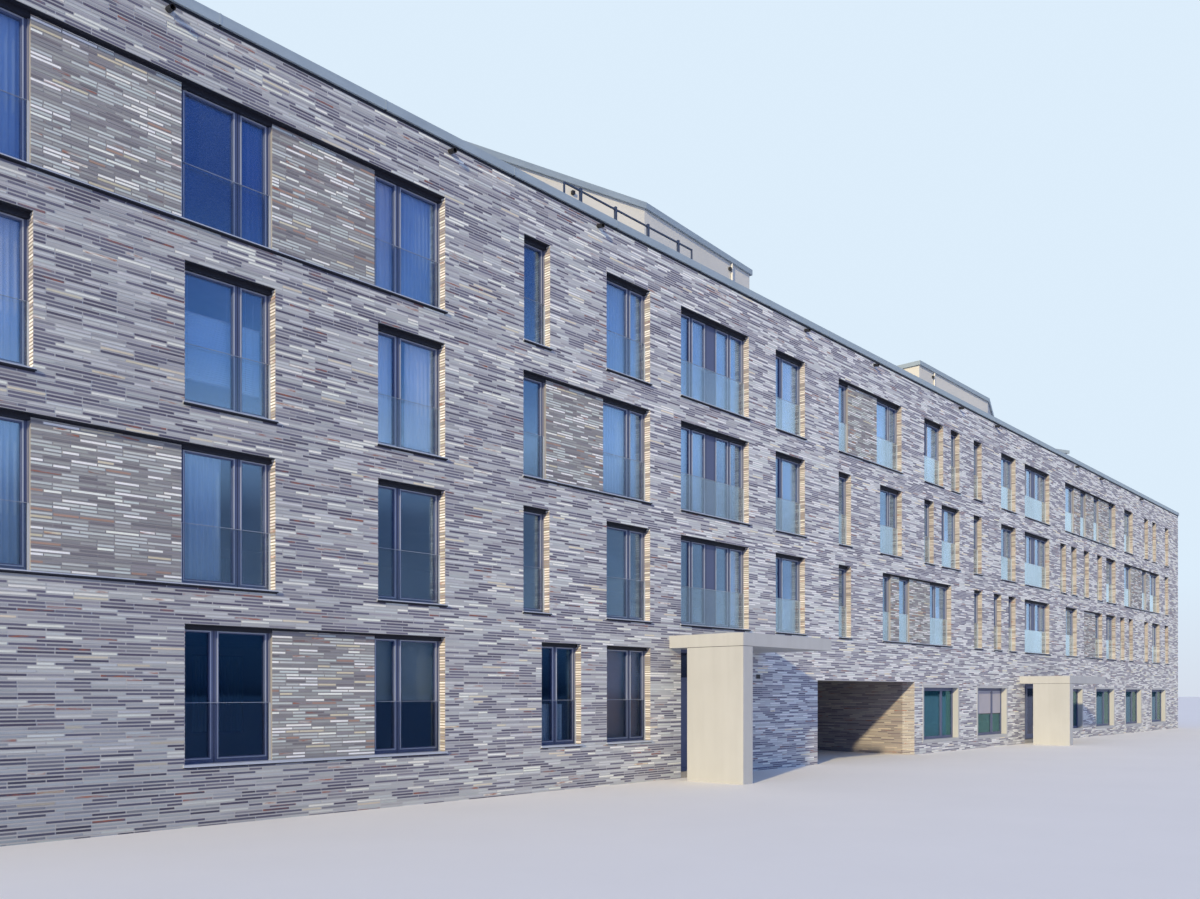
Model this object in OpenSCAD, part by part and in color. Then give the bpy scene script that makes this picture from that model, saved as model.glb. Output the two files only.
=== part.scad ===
// Four-storey brick apartment block with two entrances and a passage, built at half of its real size.
// Lengths are millimetres of the half-size model. The street front faces -Y and +X runs along it.
// The origin lies on the ground under the middle of the block.

/* [Block] */
// Length of the block along the street
block_l = 34000; // [33400:100:36000]
// Depth from the street front to the rear face
block_d = 6500; // [5600:100:9000]
// Height from one floor to the next
storey_h = 1450; // [1400:10:1600]
// Height of the first window row's openings above the ground
first_sill_z = 480; // [440:10:560]
// Thickness of the outer walls
wall_t = 225; // [190:5:300]
// Thickness of the floor slabs
slab_t = 150; // [100:5:180]
// Thickness of the ground slab
ground_t = 75; // [60:5:100]
// Height of the wall above the roof slab
parapet_h = 180; // [120:5:300]

/* [Windows] */
// Height of a window opening
window_h = 1150; // [1000:10:1200]
// Width of an opening with one sash
narrow_w = 390; // [340:5:420]
// Width of the ground floor opening between narrow and double
middle_w = 620; // [560:5:700]
// Width of an opening with two sashes
double_w = 790; // [720:5:820]
// Width of an opening with two pairs of sashes
wide_w = 1510; // [1440:5:1560]
// Width of the metal panel between the two pairs of sashes
pair_panel_w = 180; // [120:5:220]
// Depth from the brick face to the window frame
frame_recess = 100; // [80:5:120]
// Depth of a window frame
frame_t = 40; // [30:2:50]
// Width of a frame's side and bottom members
frame_w = 50; // [30:2:60]
// Height of a frame's top member with its blind box
frame_top_h = 60; // [40:2:80]
// Width of the post between two sashes
post_w = 85; // [60:5:100]
// Width of the narrower sash's glass
small_light_w = 200; // [150:5:220]
// Thickness of the window glass
glass_t = 12; // [8:1:16]

/* [Sills and guards] */
// Thickness of a metal sill
sill_t = 20; // [12:1:30]
// How far a sill stands out from the brick face
sill_out = 25; // [15:1:40]
// How far a sill reaches past each side of its opening
sill_side = 15; // [5:1:30]
// Height of a glass guard above its sill
guard_h = 495; // [450:5:560]
// Thickness of a guard's glass
guard_t = 10; // [6:1:12]
// Distance of a guard from the window frame
guard_gap = 9; // [8:1:16]
// Width of the metal holder at each side of a guard
holder_w = 14; // [8:1:20]
// How far a holder reaches past each face of the guard's glass
holder_lip = 5; // [2:1:7]
// Gap between a guard and its sill
guard_lift = 8; // [4:1:20]

/* [Recessed panels] */
// Depth from the brick face to the face of a recessed panel
panel_recess = 55; // [40:5:75]

/* [Passage] */
// Distance from the left corner to the passage
passage_x = 12660; // [12500:10:12900]
// Width of the passage
passage_w = 3265; // [3000:5:3400]
// Height of the passage
passage_h = 1270; // [1200:10:1400]
// Thickness of the passage's side walls
passage_wall_t = 180; // [120:5:240]
// Thickness of the passage ceiling
passage_ceiling_t = 150; // [80:5:200]

/* [Entrances] */
// Distance from the left corner to the first entrance
entrance_1_x = 9330; // [9300:5:9360]
// Distance from the left corner to the second entrance
entrance_2_x = 21170; // [21140:5:21200]
// Height of the canopy's underside at the first entrance
canopy_1_z = 1635; // [1560:5:1650]
// Height of the canopy's underside at the second entrance
canopy_2_z = 1275; // [1240:5:1400]
// Length of the first canopy along the front
canopy_1_l = 2030; // [1900:10:2400]
// Length of the second canopy along the front
canopy_2_l = 2370; // [1900:10:2500]
// How far the first canopy stands out from the front
canopy_1_d = 1110; // [900:5:1300]
// How far the second canopy stands out from the front
canopy_2_d = 1010; // [900:5:1300]
// Thickness of a canopy
canopy_t = 155; // [100:5:200]
// Distance from the first canopy's left end to its entrance opening
canopy_1_lead = 230; // [205:5:260]
// Distance from the second canopy's left end to its entrance opening
canopy_2_lead = 295; // [205:5:320]
// Thickness of the fin wall that carries a canopy
fin_t = 195; // [150:5:205]
// Gap between a fin wall and the front
fin_gap = 280; // [200:5:400]
// Width of the closed metal panel beside a door
side_panel_w = 300; // [200:10:340]
// Width of the space that the door leaf closes
door_w = 600; // [520:10:640]
// Height of the door set without a fanlight
door_set_h = 1200; // [1100:10:1200]
// Width of the entrance frame's members
door_frame_w = 40; // [30:2:50]
// Thickness of the closed metal panel
side_panel_t = 16; // [10:1:24]
// Width of the leaf's own frame
leaf_frame_w = 50; // [40:2:70]
// Clear gap around the door leaf
leaf_gap = 8; // [7:1:10]
// Radius of the pivots that the leaf turns on
pivot_r = 10; // [8:1:14]
// Clearance between a pivot and the leaf
pivot_clear = 0.3; // [0.2:0.1:0.5]
// Thickness of the threshold plate
threshold_t = 4; // [2:1:5]
// Length of the pull bar on a leaf
pull_l = 600; // [400:10:800]
// Radius of the pull bar
pull_r = 9; // [6:1:12]
// Distance of the pull bar from the leaf's face
pull_off = 28; // [24:1:36]

/* [Shops] */
// Width of a shop opening
shop_w = 1560; // [1450:10:1620]
// Height of a shop opening's lower edge
shop_sill_z = 190; // [150:5:250]
// Height of a shop opening's upper edge
shop_head_z = 1225; // [1150:5:1300]
// Width of the concrete surround seen from the front
surround_w = 50; // [30:2:70]
// How far the concrete surround stands out
surround_out = 8; // [4:1:20]
// Width of the smaller of a shop window's two panes
shop_light_w = 420; // [300:10:500]

/* [Roof edge] */
// Height of the shadow gap under the coping
shadow_h = 14; // [8:1:30]
// How far the shadow gap is set back
shadow_in = 40; // [20:5:60]
// Height of the coping
coping_h = 88; // [70:2:160]
// How far the coping overhangs the walls
coping_out = 28; // [10:2:50]
// Outer radius of an overflow spout
spout_r = 25; // [18:1:32]
// Thickness of a spout's wall
spout_t = 4; // [3:0.5:6]
// How far a spout stands out from the brick face
spout_l = 85; // [50:5:120]
// Distance from the top of the walls down to a spout's middle
spout_drop = 62; // [50:2:100]
// Angle that a spout slopes down by
spout_slope = 10; // [0:1:20]

/* [Penthouses] */
// Distance from the left corner to the first penthouse
penthouse_1_x = 7200; // [7000:10:7400]
// Length of the first penthouse
penthouse_1_l = 5775; // [5400:5:6000]
// Distance from its left end to the bend in its front
bend_1 = 2915; // [2600:5:3200]
// Distance of the bend from the street front
setback_1 = 1265; // [1150:5:1500]
// How far the first penthouse's left end lies behind its bend
left_back_1 = 695; // [500:5:800]
// How far its right end lies behind its bend
right_back_1 = 180; // [100:5:300]
// Distance from the left corner to the second penthouse
penthouse_2_x = 19105; // [19000:5:19400]
// Length of the second penthouse
penthouse_2_l = 5550; // [5200:50:6000]
// Distance from its left end to the bend in its front
bend_2 = 3615; // [3300:5:4000]
// Distance of its straight front from the street front
setback_2 = 1400; // [1200:5:1600]
// How far the second penthouse's right end lies behind its straight front
right_back_2 = 620; // [400:5:800]
// Distance from the left corner to the third penthouse
penthouse_3_x = 26660; // [26000:10:27000]
// Length of the third penthouse
penthouse_3_l = 2600; // [2400:10:3200]
// Distance of its right end from the street front
setback_3 = 1728; // [1600:1:1900]
// How far the third penthouse's left end lies behind its right end
left_back_3 = 1144; // [800:1:1300]
// Distance of the penthouses from the rear face
penthouse_rear = 1420; // [1200:10:1800]
// Height of a penthouse wall
penthouse_h = 1555; // [1400:5:1650]
// Thickness of a penthouse wall
penthouse_wall_t = 160; // [120:5:200]
// Thickness of a penthouse roof
penthouse_roof_t = 85; // [60:5:160]
// Overhang of a penthouse roof
penthouse_roof_out = 38; // [36:1:80]
// Length of penthouse for each of its rear windows
penthouse_window_pitch = 1700; // [1500:50:1900]
// Radius of a downpipe
pipe_r = 17; // [14:1:18]
// Length and height of a wall lamp
lamp_l = 45; // [30:5:60]
// How far a wall lamp stands out
lamp_d = 40; // [25:5:60]
// Distance from the lamps down from the roof's underside
lamp_drop = 85; // [60:5:140]

/* [Terrace railing] */
// Distance from the left corner to the railing's first post
railing_x = 7830; // [7700:10:7900]
// Distance between two posts
railing_pitch = 615; // [560:5:640]
// Number of posts
railing_posts = 4; // [3:1:5]
// Distance from the outer posts to the railing's ends
railing_end = 290; // [100:10:400]
// Height of the railing above the roof slab
railing_h = 650; // [550:10:700]
// How far the posts stand above the top rail
post_rise = 28; // [10:2:40]
// Width of a post
rail_post_w = 30; // [24:2:40]
// Distance of the railing from the street front
railing_y = 300; // [280:5:400]
// Thickness of the top rail and the end bars
railing_bar = 18; // [12:1:24]

/* [Rear and ends] */
// Number of windows in a storey of the rear wall
rear_windows = 14; // [10:1:16]
// Distance from a rear corner to the first rear window
rear_margin = 1200; // [1000:50:1400]
// Distance from an end wall's corner to its nearest window
end_margin = 1300; // [1100:50:1600]

/* [Hidden] */
$fn = 48;

// Cuts run past the faces that they open by this much
eps = 1;

// Openings of each storey of the front. A group starts at a distance from the left corner and lists
// its pieces from left to right: n one sash, m middle, l and r two sashes with the small one at the
// left or right, d two pairs of sashes, and a number is the width of a recessed panel.
front_1 = [[2950, ["l", 1040, "l"]], [6890, ["m"]], [7940, ["r"]]];
front_2 = [[1060, ["l", 1100, "r"]], [4780, ["l"]], [6620, ["n"]], [7935, ["r"]], [entrance_1_x, ["d"]],
           [11510, ["l"]], [13290, ["n"]], [14745, ["n", 315, "n", 820, "l"]], [18500, ["n"]],
           [19480, ["n"]], [20260, ["n"]], [entrance_2_x, ["d"]], [23760, ["l"]], [25085, [1025, "n"]],
           [26830, ["r"]], [28020, ["n"]], [28800, ["n"]], [30290, ["n"]], [31110, ["r"]],
           [32480, ["n"]]];
front_3 = [[1060, ["l"]], [2950, ["r"]], [4780, ["l"]], [6620, ["n", 925, "r"]], [entrance_1_x, ["d"]],
           [11510, ["l"]], [13290, ["n"]], [14650, ["r"]], [16310, ["n"]], [17030, ["l"]],
           [18480, ["n"]], [19860, ["r"]], [entrance_2_x, ["d"]], [23395, ["n"]], [24140, ["n"]],
           [25060, ["n"]], [26090, ["n"]], [26830, ["l"]], [28385, ["l", 1110, "n", 405, "r"]],
           [32480, ["n"]]];
front_4 = [[1060, ["l", 1100, "r", 1040, "l"]], [6630, ["n"]], [7935, ["r"]], [entrance_1_x, ["d"]],
           [11510, ["l"]], [13290, ["n", 960, "r"]], [16310, ["l"]], [17430, ["n"]],
           [18480, ["n"]], [19860, ["r"]], [entrance_2_x, ["d"]],
           [23720, ["l", 475, "n", 615, "n", 840, "n"]], [28385, ["l"]], [30290, ["n"]],
           [31120, ["n"]], [32480, ["n"]]];
// A shorter block has only the groups, shop openings and spouts that end this far before its corner
corner_pier = 500;
front_groups = [for (groups = [front_1, front_2, front_3, front_4])
    [for (g = groups) if (group_end(g) + corner_pier <= block_l) g]];

// Distances from the left corner to the shop openings
all_shop_x = [16240, 18630, 23440, 25960, 28460, 31000];
shop_x = [for (x = all_shop_x) if (x + shop_w + corner_pier <= block_l) x];
// Distances from the left corner to the overflow spouts
all_spout_x = [2820, 5630, 7790, 12300, 14440, 17800, 19560, 24470, 26310, 29880];
spout_x = [for (x = all_spout_x) if (x + corner_pier <= block_l) x];

// Width of one piece of a group
function piece_w(p) = is_num(p) ? p
    : p == "n" ? narrow_w
    : p == "m" ? middle_w
    : p == "d" ? wide_w
    : double_w;
// Start of the piece with index i in group g
function piece_x(g, i) = i == 0 ? g[0] : piece_x(g, i - 1) + piece_w(g[1][i - 1]);
// End of group g
function group_end(g) = piece_x(g, len(g[1]));
// Height of the lower edge of a storey's openings
function open_z(storey) = first_sill_z + (storey - 1) * storey_h;
// Height of a floor slab's top
function floor_z(storey) = open_z(storey) - sill_t;
// Groups that start between two distances
function between(groups, x0, x1) = [for (g = groups) if (g[0] >= x0 && g[0] < x1) g];

// Widths of the panes of one window, from left to right
function lights(p, w) = p == "n" ? [w - 2 * frame_w]
    : p == "r" ? [w - 2 * frame_w - post_w - small_light_w, small_light_w]
    : p == "s" ? [w - 2 * frame_w - post_w - shop_light_w, shop_light_w]
    : [small_light_w, w - 2 * frame_w - post_w - small_light_w];

top_storey = 4;
base_z = floor_z(2) - slab_t;
roof_z = floor_z(top_storey) + storey_h + slab_t / 2;
wall_top = roof_z + parapet_h;
coping_z = wall_top + shadow_h;
frame_back = frame_recess + frame_t;
passage_end = passage_x + passage_w;
guard_y = frame_recess - guard_gap - guard_t;

// Rear windows stand at even distances
rear_pitch = (block_l - 2 * rear_margin - double_w) / (rear_windows - 1);
rear_groups = [for (i = [0:rear_windows - 1]) [rear_margin + i * rear_pitch, ["l"]]];
// Seen from the rear, the passage lies between these distances
rear_passage_x = block_l - passage_end;
rear_passage_end = block_l - passage_x;
passage_clear = 150;
rear_groups_1 = [for (g = rear_groups)
    if (group_end(g) < rear_passage_x - passage_clear || g[0] > rear_passage_end + passage_clear) g];
function rear_groups_of(storey) = storey == 1 ? rear_groups_1 : rear_groups;
end_groups = [[end_margin, ["l"]], [block_d - end_margin - double_w, ["r"]]];

// Places for pieces drawn as seen from outside: x along the wall, y into the wall, z up
module on_front() { translate([-block_l / 2, -block_d / 2, 0]) children(); }
module on_rear() { translate([block_l / 2, block_d / 2, 0]) rotate([0, 0, 180]) children(); }
module on_left() { translate([-block_l / 2, block_d / 2, 0]) rotate([0, 0, -90]) children(); }
module on_right() { translate([block_l / 2, -block_d / 2, 0]) rotate([0, 0, 90]) children(); }

// Block between two corners
module block(lo, hi) { translate(lo) cube(hi - lo); }

// Cuts for one storey's windows and recessed panels
module group_cuts(groups, storey) {
    z0 = open_z(storey);
    for (g = groups, i = [0:len(g[1]) - 1]) {
        x0 = piece_x(g, i);
        x1 = x0 + piece_w(g[1][i]);
        back = is_num(g[1][i]) ? frame_recess : wall_t + eps;
        block([x0, -eps, z0], [x1, back, z0 + window_h]);
    }
}

// Length of wall with the openings of one storey
module wall_storey(x0, x1, z0, z1, groups, storey) {
    difference() {
        block([x0, 0, z0], [x1, wall_t, z1]);
        group_cuts(groups, storey);
    }
}

// Height where a storey's wall starts
function wall_z(storey) = storey == 1 ? 0 : floor_z(storey) - slab_t;
function wall_end_z(storey) = storey == top_storey ? wall_top : wall_z(storey + 1);

// Frame of one window with its panes cut out, drawn from the opening's lower left corner
module frame(w, h, panes, post = post_w) {
    difference() {
        block([0, frame_recess, 0], [w, frame_back, h]);
        for (i = [0:len(panes) - 1]) {
            block([pane_x(panes, i, post), frame_recess - eps, frame_w],
                  [pane_x(panes, i, post) + panes[i], frame_back + eps, h - frame_top_h]);
        }
    }
}
// Left edge of pane i
function pane_x(panes, i, post) = i == 0 ? frame_w : pane_x(panes, i - 1, post) + panes[i - 1] + post;
// Panes of one window
module panes(h, widths, post = post_w) {
    y0 = frame_recess + (frame_t - glass_t) / 2;
    for (i = [0:len(widths) - 1]) {
        block([pane_x(widths, i, post), y0, frame_w],
              [pane_x(widths, i, post) + widths[i], y0 + glass_t, h - frame_top_h]);
    }
}

pair_w = (wide_w - pair_panel_w) / 2;
pair_light_w = (pair_w - 2 * frame_w - post_w) / 2;

// Frames for the windows of one storey on one side
module frames_of(groups, storey) {
    for (g = groups, i = [0:len(g[1]) - 1]) {
        p = g[1][i];
        w = piece_w(p);
        h = window_h - sill_t;
        translate([piece_x(g, i), 0, open_z(storey) + sill_t]) {
            if (p == "d") {
                frame(pair_w, h, [pair_light_w, pair_light_w]);
                translate([wide_w - pair_w, 0, 0]) frame(pair_w, h, [pair_light_w, pair_light_w]);
                block([pair_w, frame_recess, 0], [pair_w + pair_panel_w, frame_back, h]);
            } else if (!is_num(p)) {
                frame(w, h, lights(p, w));
            }
        }
    }
}

// Panes for the windows of one storey on one side
module glass_of(groups, storey) {
    for (g = groups, i = [0:len(g[1]) - 1]) {
        p = g[1][i];
        w = piece_w(p);
        h = window_h - sill_t;
        translate([piece_x(g, i), 0, open_z(storey) + sill_t]) {
            if (p == "d") {
                panes(h, [pair_light_w, pair_light_w]);
                translate([wide_w - pair_w, 0, 0]) panes(h, [pair_light_w, pair_light_w]);
            } else if (!is_num(p)) {
                panes(h, lights(p, w));
            }
        }
    }
}

// One sill under each group
module sills_of(groups, storey) {
    for (g = groups) {
        translate([0, 0, open_z(storey)]) {
            block([g[0] - sill_side, -sill_out, 0], [group_end(g) + sill_side, 0, sill_t]);
            block([g[0], 0, 0], [group_end(g), frame_recess, sill_t]);
        }
    }
}

// Glass guards in front of one storey's windows
module guards_of(groups, storey) {
    z0 = open_z(storey) + sill_t + guard_lift;
    for (g = groups, i = [0:len(g[1]) - 1]) {
        if (!is_num(g[1][i])) {
            x0 = piece_x(g, i) + holder_w;
            x1 = piece_x(g, i) + piece_w(g[1][i]) - holder_w;
            block([x0, guard_y, z0], [x1, guard_y + guard_t, z0 + guard_h - guard_lift]);
        }
    }
}
module holders_of(groups, storey) {
    z0 = open_z(storey) + sill_t;
    for (g = groups, i = [0:len(g[1]) - 1]) {
        if (!is_num(g[1][i])) {
            for (x = [piece_x(g, i), piece_x(g, i) + piece_w(g[1][i]) - holder_w]) {
                block([x, guard_y - holder_lip, z0],
                      [x + holder_w, guard_y + guard_t + holder_lip, z0 + guard_h]);
            }
        }
    }
}

module ground_slabs() {
    color("darkgray") {
        on_front() {
            union() {
                block([wall_t, wall_t, 0], [passage_x - passage_wall_t, block_d - wall_t, ground_t]);
                block([entrance_1_x, 0, 0], [entrance_1_x + wide_w, wall_t + eps, ground_t]);
            }
            union() {
                block([passage_end + passage_wall_t, wall_t, 0],
                      [block_l - wall_t, block_d - wall_t, ground_t]);
                block([entrance_2_x, 0, 0], [entrance_2_x + wide_w, wall_t + eps, ground_t]);
            }
        }
    }
}

module shop_cuts(x0, x1) {
    for (x = shop_x) {
        if (x >= x0 && x < x1) {
            block([x, -eps, shop_sill_z], [x + shop_w, wall_t + eps, shop_head_z]);
        }
    }
}

module front_wall_1_left() {
    color("slategray") on_front() wall_storey(0, entrance_1_x, 0, base_z, front_1, 1);
}
module front_wall_1_middle() {
    color("slategray") on_front() block([entrance_1_x + wide_w, 0, 0], [passage_x, wall_t, base_z]);
}
module front_wall_1_shops() {
    color("slategray") on_front() difference() {
        block([passage_end, 0, 0], [entrance_2_x, wall_t, base_z]);
        shop_cuts(passage_end, entrance_2_x);
    }
}
module front_wall_1_right() {
    color("slategray") on_front() difference() {
        block([entrance_2_x + wide_w, 0, 0], [block_l, wall_t, base_z]);
        shop_cuts(entrance_2_x, block_l);
    }
}
// Wall over the two entrances and over both ends of the passage
module lintels() {
    color("slategray") {
        on_front() {
            block([entrance_1_x, 0, canopy_1_z], [entrance_1_x + wide_w, wall_t, base_z]);
            block([passage_x, 0, passage_h], [passage_end, wall_t, base_z]);
            block([entrance_2_x, 0, canopy_2_z], [entrance_2_x + wide_w, wall_t, base_z]);
        }
        on_rear()
            block([rear_passage_x, 0, passage_h], [rear_passage_end, wall_t, base_z]);
    }
}
module front_wall(storey) {
    color("slategray") on_front()
        wall_storey(0, block_l, wall_z(storey), wall_end_z(storey), front_groups[storey - 1], storey);
}

module rear_wall_1() {
    color("slategray") on_rear() {
        wall_storey(0, rear_passage_x, 0, base_z, between(rear_groups_1, 0, rear_passage_x), 1);
        wall_storey(rear_passage_end, block_l, 0, base_z,
                    between(rear_groups_1, rear_passage_end, block_l), 1);
    }
}
module rear_wall_upper() {
    color("slategray") on_rear() difference() {
        block([0, 0, base_z], [block_l, wall_t, wall_top]);
        for (storey = [2:top_storey]) {
            group_cuts(rear_groups, storey);
        }
    }
}
module end_wall() {
    difference() {
        block([wall_t, 0, 0], [block_d - wall_t, wall_t, wall_top]);
        for (storey = [1:top_storey]) {
            group_cuts(end_groups, storey);
        }
    }
}
module left_wall() { color("slategray") on_left() end_wall(); }
module right_wall() { color("slategray") on_right() end_wall(); }

module passage_walls() {
    color("slategray") on_front() {
        block([passage_x - passage_wall_t, wall_t, 0], [passage_x, block_d - wall_t, base_z]);
        block([passage_end, wall_t, 0], [passage_end + passage_wall_t, block_d - wall_t, base_z]);
    }
}
module passage_ceiling() {
    color("dimgray") on_front()
        block([passage_x, wall_t, passage_h],
              [passage_end, block_d - wall_t, passage_h + passage_ceiling_t]);
}

module slab(top) {
    color("darkgray") on_front()
        block([wall_t, wall_t, top - slab_t], [block_l - wall_t, block_d - wall_t, top]);
}
module floor_slabs() {
    for (storey = [2:top_storey]) {
        slab(floor_z(storey));
    }
}
module roof_slab() { slab(roof_z); }

// Brown brick panels set back between the windows of a group
module recessed_panels() {
    color("rosybrown") on_front()
        for (storey = [1:top_storey], g = front_groups[storey - 1], i = [0:len(g[1]) - 1]) {
            if (is_num(g[1][i])) {
                block([piece_x(g, i), panel_recess, open_z(storey) + sill_t],
                      [piece_x(g, i) + g[1][i], frame_recess, open_z(storey) + window_h]);
            }
        }
}

// Shop windows are drawn from the lower left corner of the surround's inner opening
module at_shops() {
    for (x = shop_x) {
        translate([x + surround_w, 0, shop_sill_z + surround_w]) children();
    }
}
shop_frame_w = shop_w - 2 * surround_w;
shop_frame_h = shop_head_z - shop_sill_z - 2 * surround_w;

module window_frames_front() {
    color("darkslategray") on_front()
        for (storey = [1:top_storey]) {
            frames_of(front_groups[storey - 1], storey);
        }
}
module window_frames_rear() {
    color("darkslategray") {
        on_rear()
            for (storey = [1:top_storey]) {
                frames_of(rear_groups_of(storey), storey);
            }
        on_front() at_penthouse_windows() frame(double_w, window_h, lights("l", double_w));
    }
}
module window_frames_ends() {
    color("darkslategray")
        for (storey = [1:top_storey]) {
            on_left() frames_of(end_groups, storey);
            on_right() frames_of(end_groups, storey);
        }
}
module window_glass_front() {
    color("steelblue", 0.5) on_front()
        for (storey = [1:top_storey]) {
            glass_of(front_groups[storey - 1], storey);
        }
}
module window_glass_rear() {
    color("steelblue", 0.5) {
        on_rear()
            for (storey = [1:top_storey]) {
                glass_of(rear_groups_of(storey), storey);
            }
        on_front() at_penthouse_windows() panes(window_h, lights("l", double_w));
    }
}
module window_glass_ends() {
    color("steelblue", 0.5)
        for (storey = [1:top_storey]) {
            on_left() glass_of(end_groups, storey);
            on_right() glass_of(end_groups, storey);
        }
}
module shop_windows() {
    color("darkslategray") on_front() at_shops()
        frame(shop_frame_w, shop_frame_h, lights("s", shop_frame_w));
}
module shop_glass() {
    color("mediumaquamarine", 0.5) on_front() at_shops()
        panes(shop_frame_h, lights("s", shop_frame_w));
}
module metal_sills() {
    color("silver")
        for (storey = [1:top_storey]) {
            on_front() sills_of(front_groups[storey - 1], storey);
            on_rear() sills_of(rear_groups_of(storey), storey);
            on_left() sills_of(end_groups, storey);
            on_right() sills_of(end_groups, storey);
        }
}
module guard_glass() {
    color("lightblue", 0.5)
        for (storey = [1:top_storey]) {
            on_front() guards_of(front_groups[storey - 1], storey);
            on_rear() guards_of(rear_groups_of(storey), storey);
            on_left() guards_of(end_groups, storey);
            on_right() guards_of(end_groups, storey);
        }
}
module guard_holders() {
    color("gray")
        for (storey = [1:top_storey]) {
            on_front() holders_of(front_groups[storey - 1], storey);
            on_rear() holders_of(rear_groups_of(storey), storey);
            on_left() holders_of(end_groups, storey);
            on_right() holders_of(end_groups, storey);
        }
}

module shop_surrounds() {
    color("gainsboro") on_front()
        for (x = shop_x) {
            difference() {
                block([x, -surround_out, shop_sill_z], [x + shop_w, wall_t, shop_head_z]);
                block([x + surround_w, -surround_out - eps, shop_sill_z + surround_w],
                      [x + shop_w - surround_w, wall_t + eps, shop_head_z - surround_w]);
            }
        }
}

canopy_x = [entrance_1_x - canopy_1_lead, entrance_2_x - canopy_2_lead];
canopy_z = [canopy_1_z, canopy_2_z];
canopy_l = [canopy_1_l, canopy_2_l];
canopy_d = [canopy_1_d, canopy_2_d];
module canopies() {
    color("gainsboro") on_front()
        for (i = [0:1]) {
            block([canopy_x[i], -canopy_d[i], canopy_z[i]],
                  [canopy_x[i] + canopy_l[i], 0, canopy_z[i] + canopy_t]);
        }
}
module fin_walls() {
    color("gainsboro") on_front()
        for (i = [0:1]) {
            block([canopy_x[i], -canopy_d[i], 0], [canopy_x[i] + fin_t, -fin_gap, canopy_z[i]]);
        }
}

// The door set: closed panel, leaf and side light between four posts, drawn from the opening's
// lower left corner
entrance_x = [entrance_1_x, entrance_2_x];
leaf_space_x = 2 * door_frame_w + side_panel_w;
side_light_x = leaf_space_x + door_w + door_frame_w;
side_light_w = wide_w - side_light_x - door_frame_w;
leaf_x = leaf_space_x + leaf_gap;
leaf_w = door_w - 2 * leaf_gap;
leaf_z = ground_t + threshold_t + leaf_gap;
leaf_top = ground_t + door_set_h - door_frame_w - leaf_gap;
pivot_plate = 3 * pivot_r;

module entrance_frame(top) {
    door_top = ground_t + door_set_h - door_frame_w;
    fan_z = ground_t + door_set_h;
    difference() {
        block([0, frame_recess, ground_t], [wide_w, frame_back, top]);
        block([leaf_space_x, frame_recess - eps, ground_t - eps],
              [leaf_space_x + door_w, frame_back + eps, door_top]);
        block([side_light_x, frame_recess - eps, ground_t + door_frame_w],
              [side_light_x + side_light_w, frame_back + eps, door_top]);
        block([door_frame_w, frame_recess - eps, ground_t + door_frame_w],
              [door_frame_w + side_panel_w, frame_back - side_panel_t, door_top]);
        if (top - fan_z > 2 * door_frame_w) {
            block([door_frame_w, frame_recess - eps, fan_z],
                  [wide_w - door_frame_w, frame_back + eps, top - door_frame_w]);
        }
    }
    block([leaf_space_x, frame_recess, ground_t],
          [leaf_space_x + door_w, frame_back + pivot_plate, ground_t + threshold_t]);
    translate([leaf_x, frame_back, ground_t])
        cylinder(r = pivot_r, h = leaf_z - ground_t - pivot_clear);
    block([leaf_x - pivot_plate / 2, frame_recess, leaf_top + leaf_gap],
          [leaf_x + pivot_plate / 2, frame_back + pivot_plate / 2, door_top + door_frame_w]);
    translate([leaf_x, frame_back, leaf_top + pivot_clear])
        cylinder(r = pivot_r, h = leaf_gap + door_frame_w / 2);
}
module entrance_frames() {
    color("darkslategray") on_front()
        for (i = [0:1]) {
            translate([entrance_x[i], 0, 0]) entrance_frame(canopy_z[i]);
        }
}
module entrance_glass() {
    y0 = frame_recess + (frame_t - glass_t) / 2;
    door_top = ground_t + door_set_h - door_frame_w;
    fan_z = ground_t + door_set_h;
    color("steelblue", 0.5) on_front()
        for (i = [0:1]) {
            translate([entrance_x[i], 0, 0]) {
                block([side_light_x, y0, ground_t + door_frame_w],
                      [side_light_x + side_light_w, y0 + glass_t, door_top]);
                if (canopy_z[i] - fan_z > 2 * door_frame_w) {
                    block([door_frame_w, y0, fan_z],
                          [wide_w - door_frame_w, y0 + glass_t, canopy_z[i] - door_frame_w]);
                }
            }
        }
}

module door_leaf(i) {
    pull_x = leaf_x + leaf_w - leaf_frame_w / 2;
    pull_z = leaf_z + (leaf_top - leaf_z - pull_l) / 2;
    color("darkslategray") on_front() translate([entrance_x[i], 0, 0]) {
        difference() {
            block([leaf_x, frame_recess, leaf_z], [leaf_x + leaf_w, frame_back, leaf_top]);
            block([leaf_x + leaf_frame_w, frame_recess - eps, leaf_z + 2 * leaf_frame_w],
                  [leaf_x + leaf_w - leaf_frame_w, frame_back + eps, leaf_top - leaf_frame_w]);
        }
        translate([pull_x, frame_recess - pull_off, pull_z]) cylinder(r = pull_r, h = pull_l);
        for (z = [pull_z + pull_l / 6, pull_z + pull_l * 5 / 6]) {
            translate([pull_x, frame_recess + eps, z]) rotate([90, 0, 0])
                cylinder(r = pull_r / 2, h = pull_off);
        }
    }
}
module door_glass(i) {
    y0 = frame_recess + (frame_t - glass_t) / 2;
    color("steelblue", 0.5) on_front() translate([entrance_x[i], 0, 0])
        block([leaf_x + leaf_frame_w, y0, leaf_z + 2 * leaf_frame_w],
              [leaf_x + leaf_w - leaf_frame_w, y0 + glass_t, leaf_top - leaf_frame_w]);
}

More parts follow.
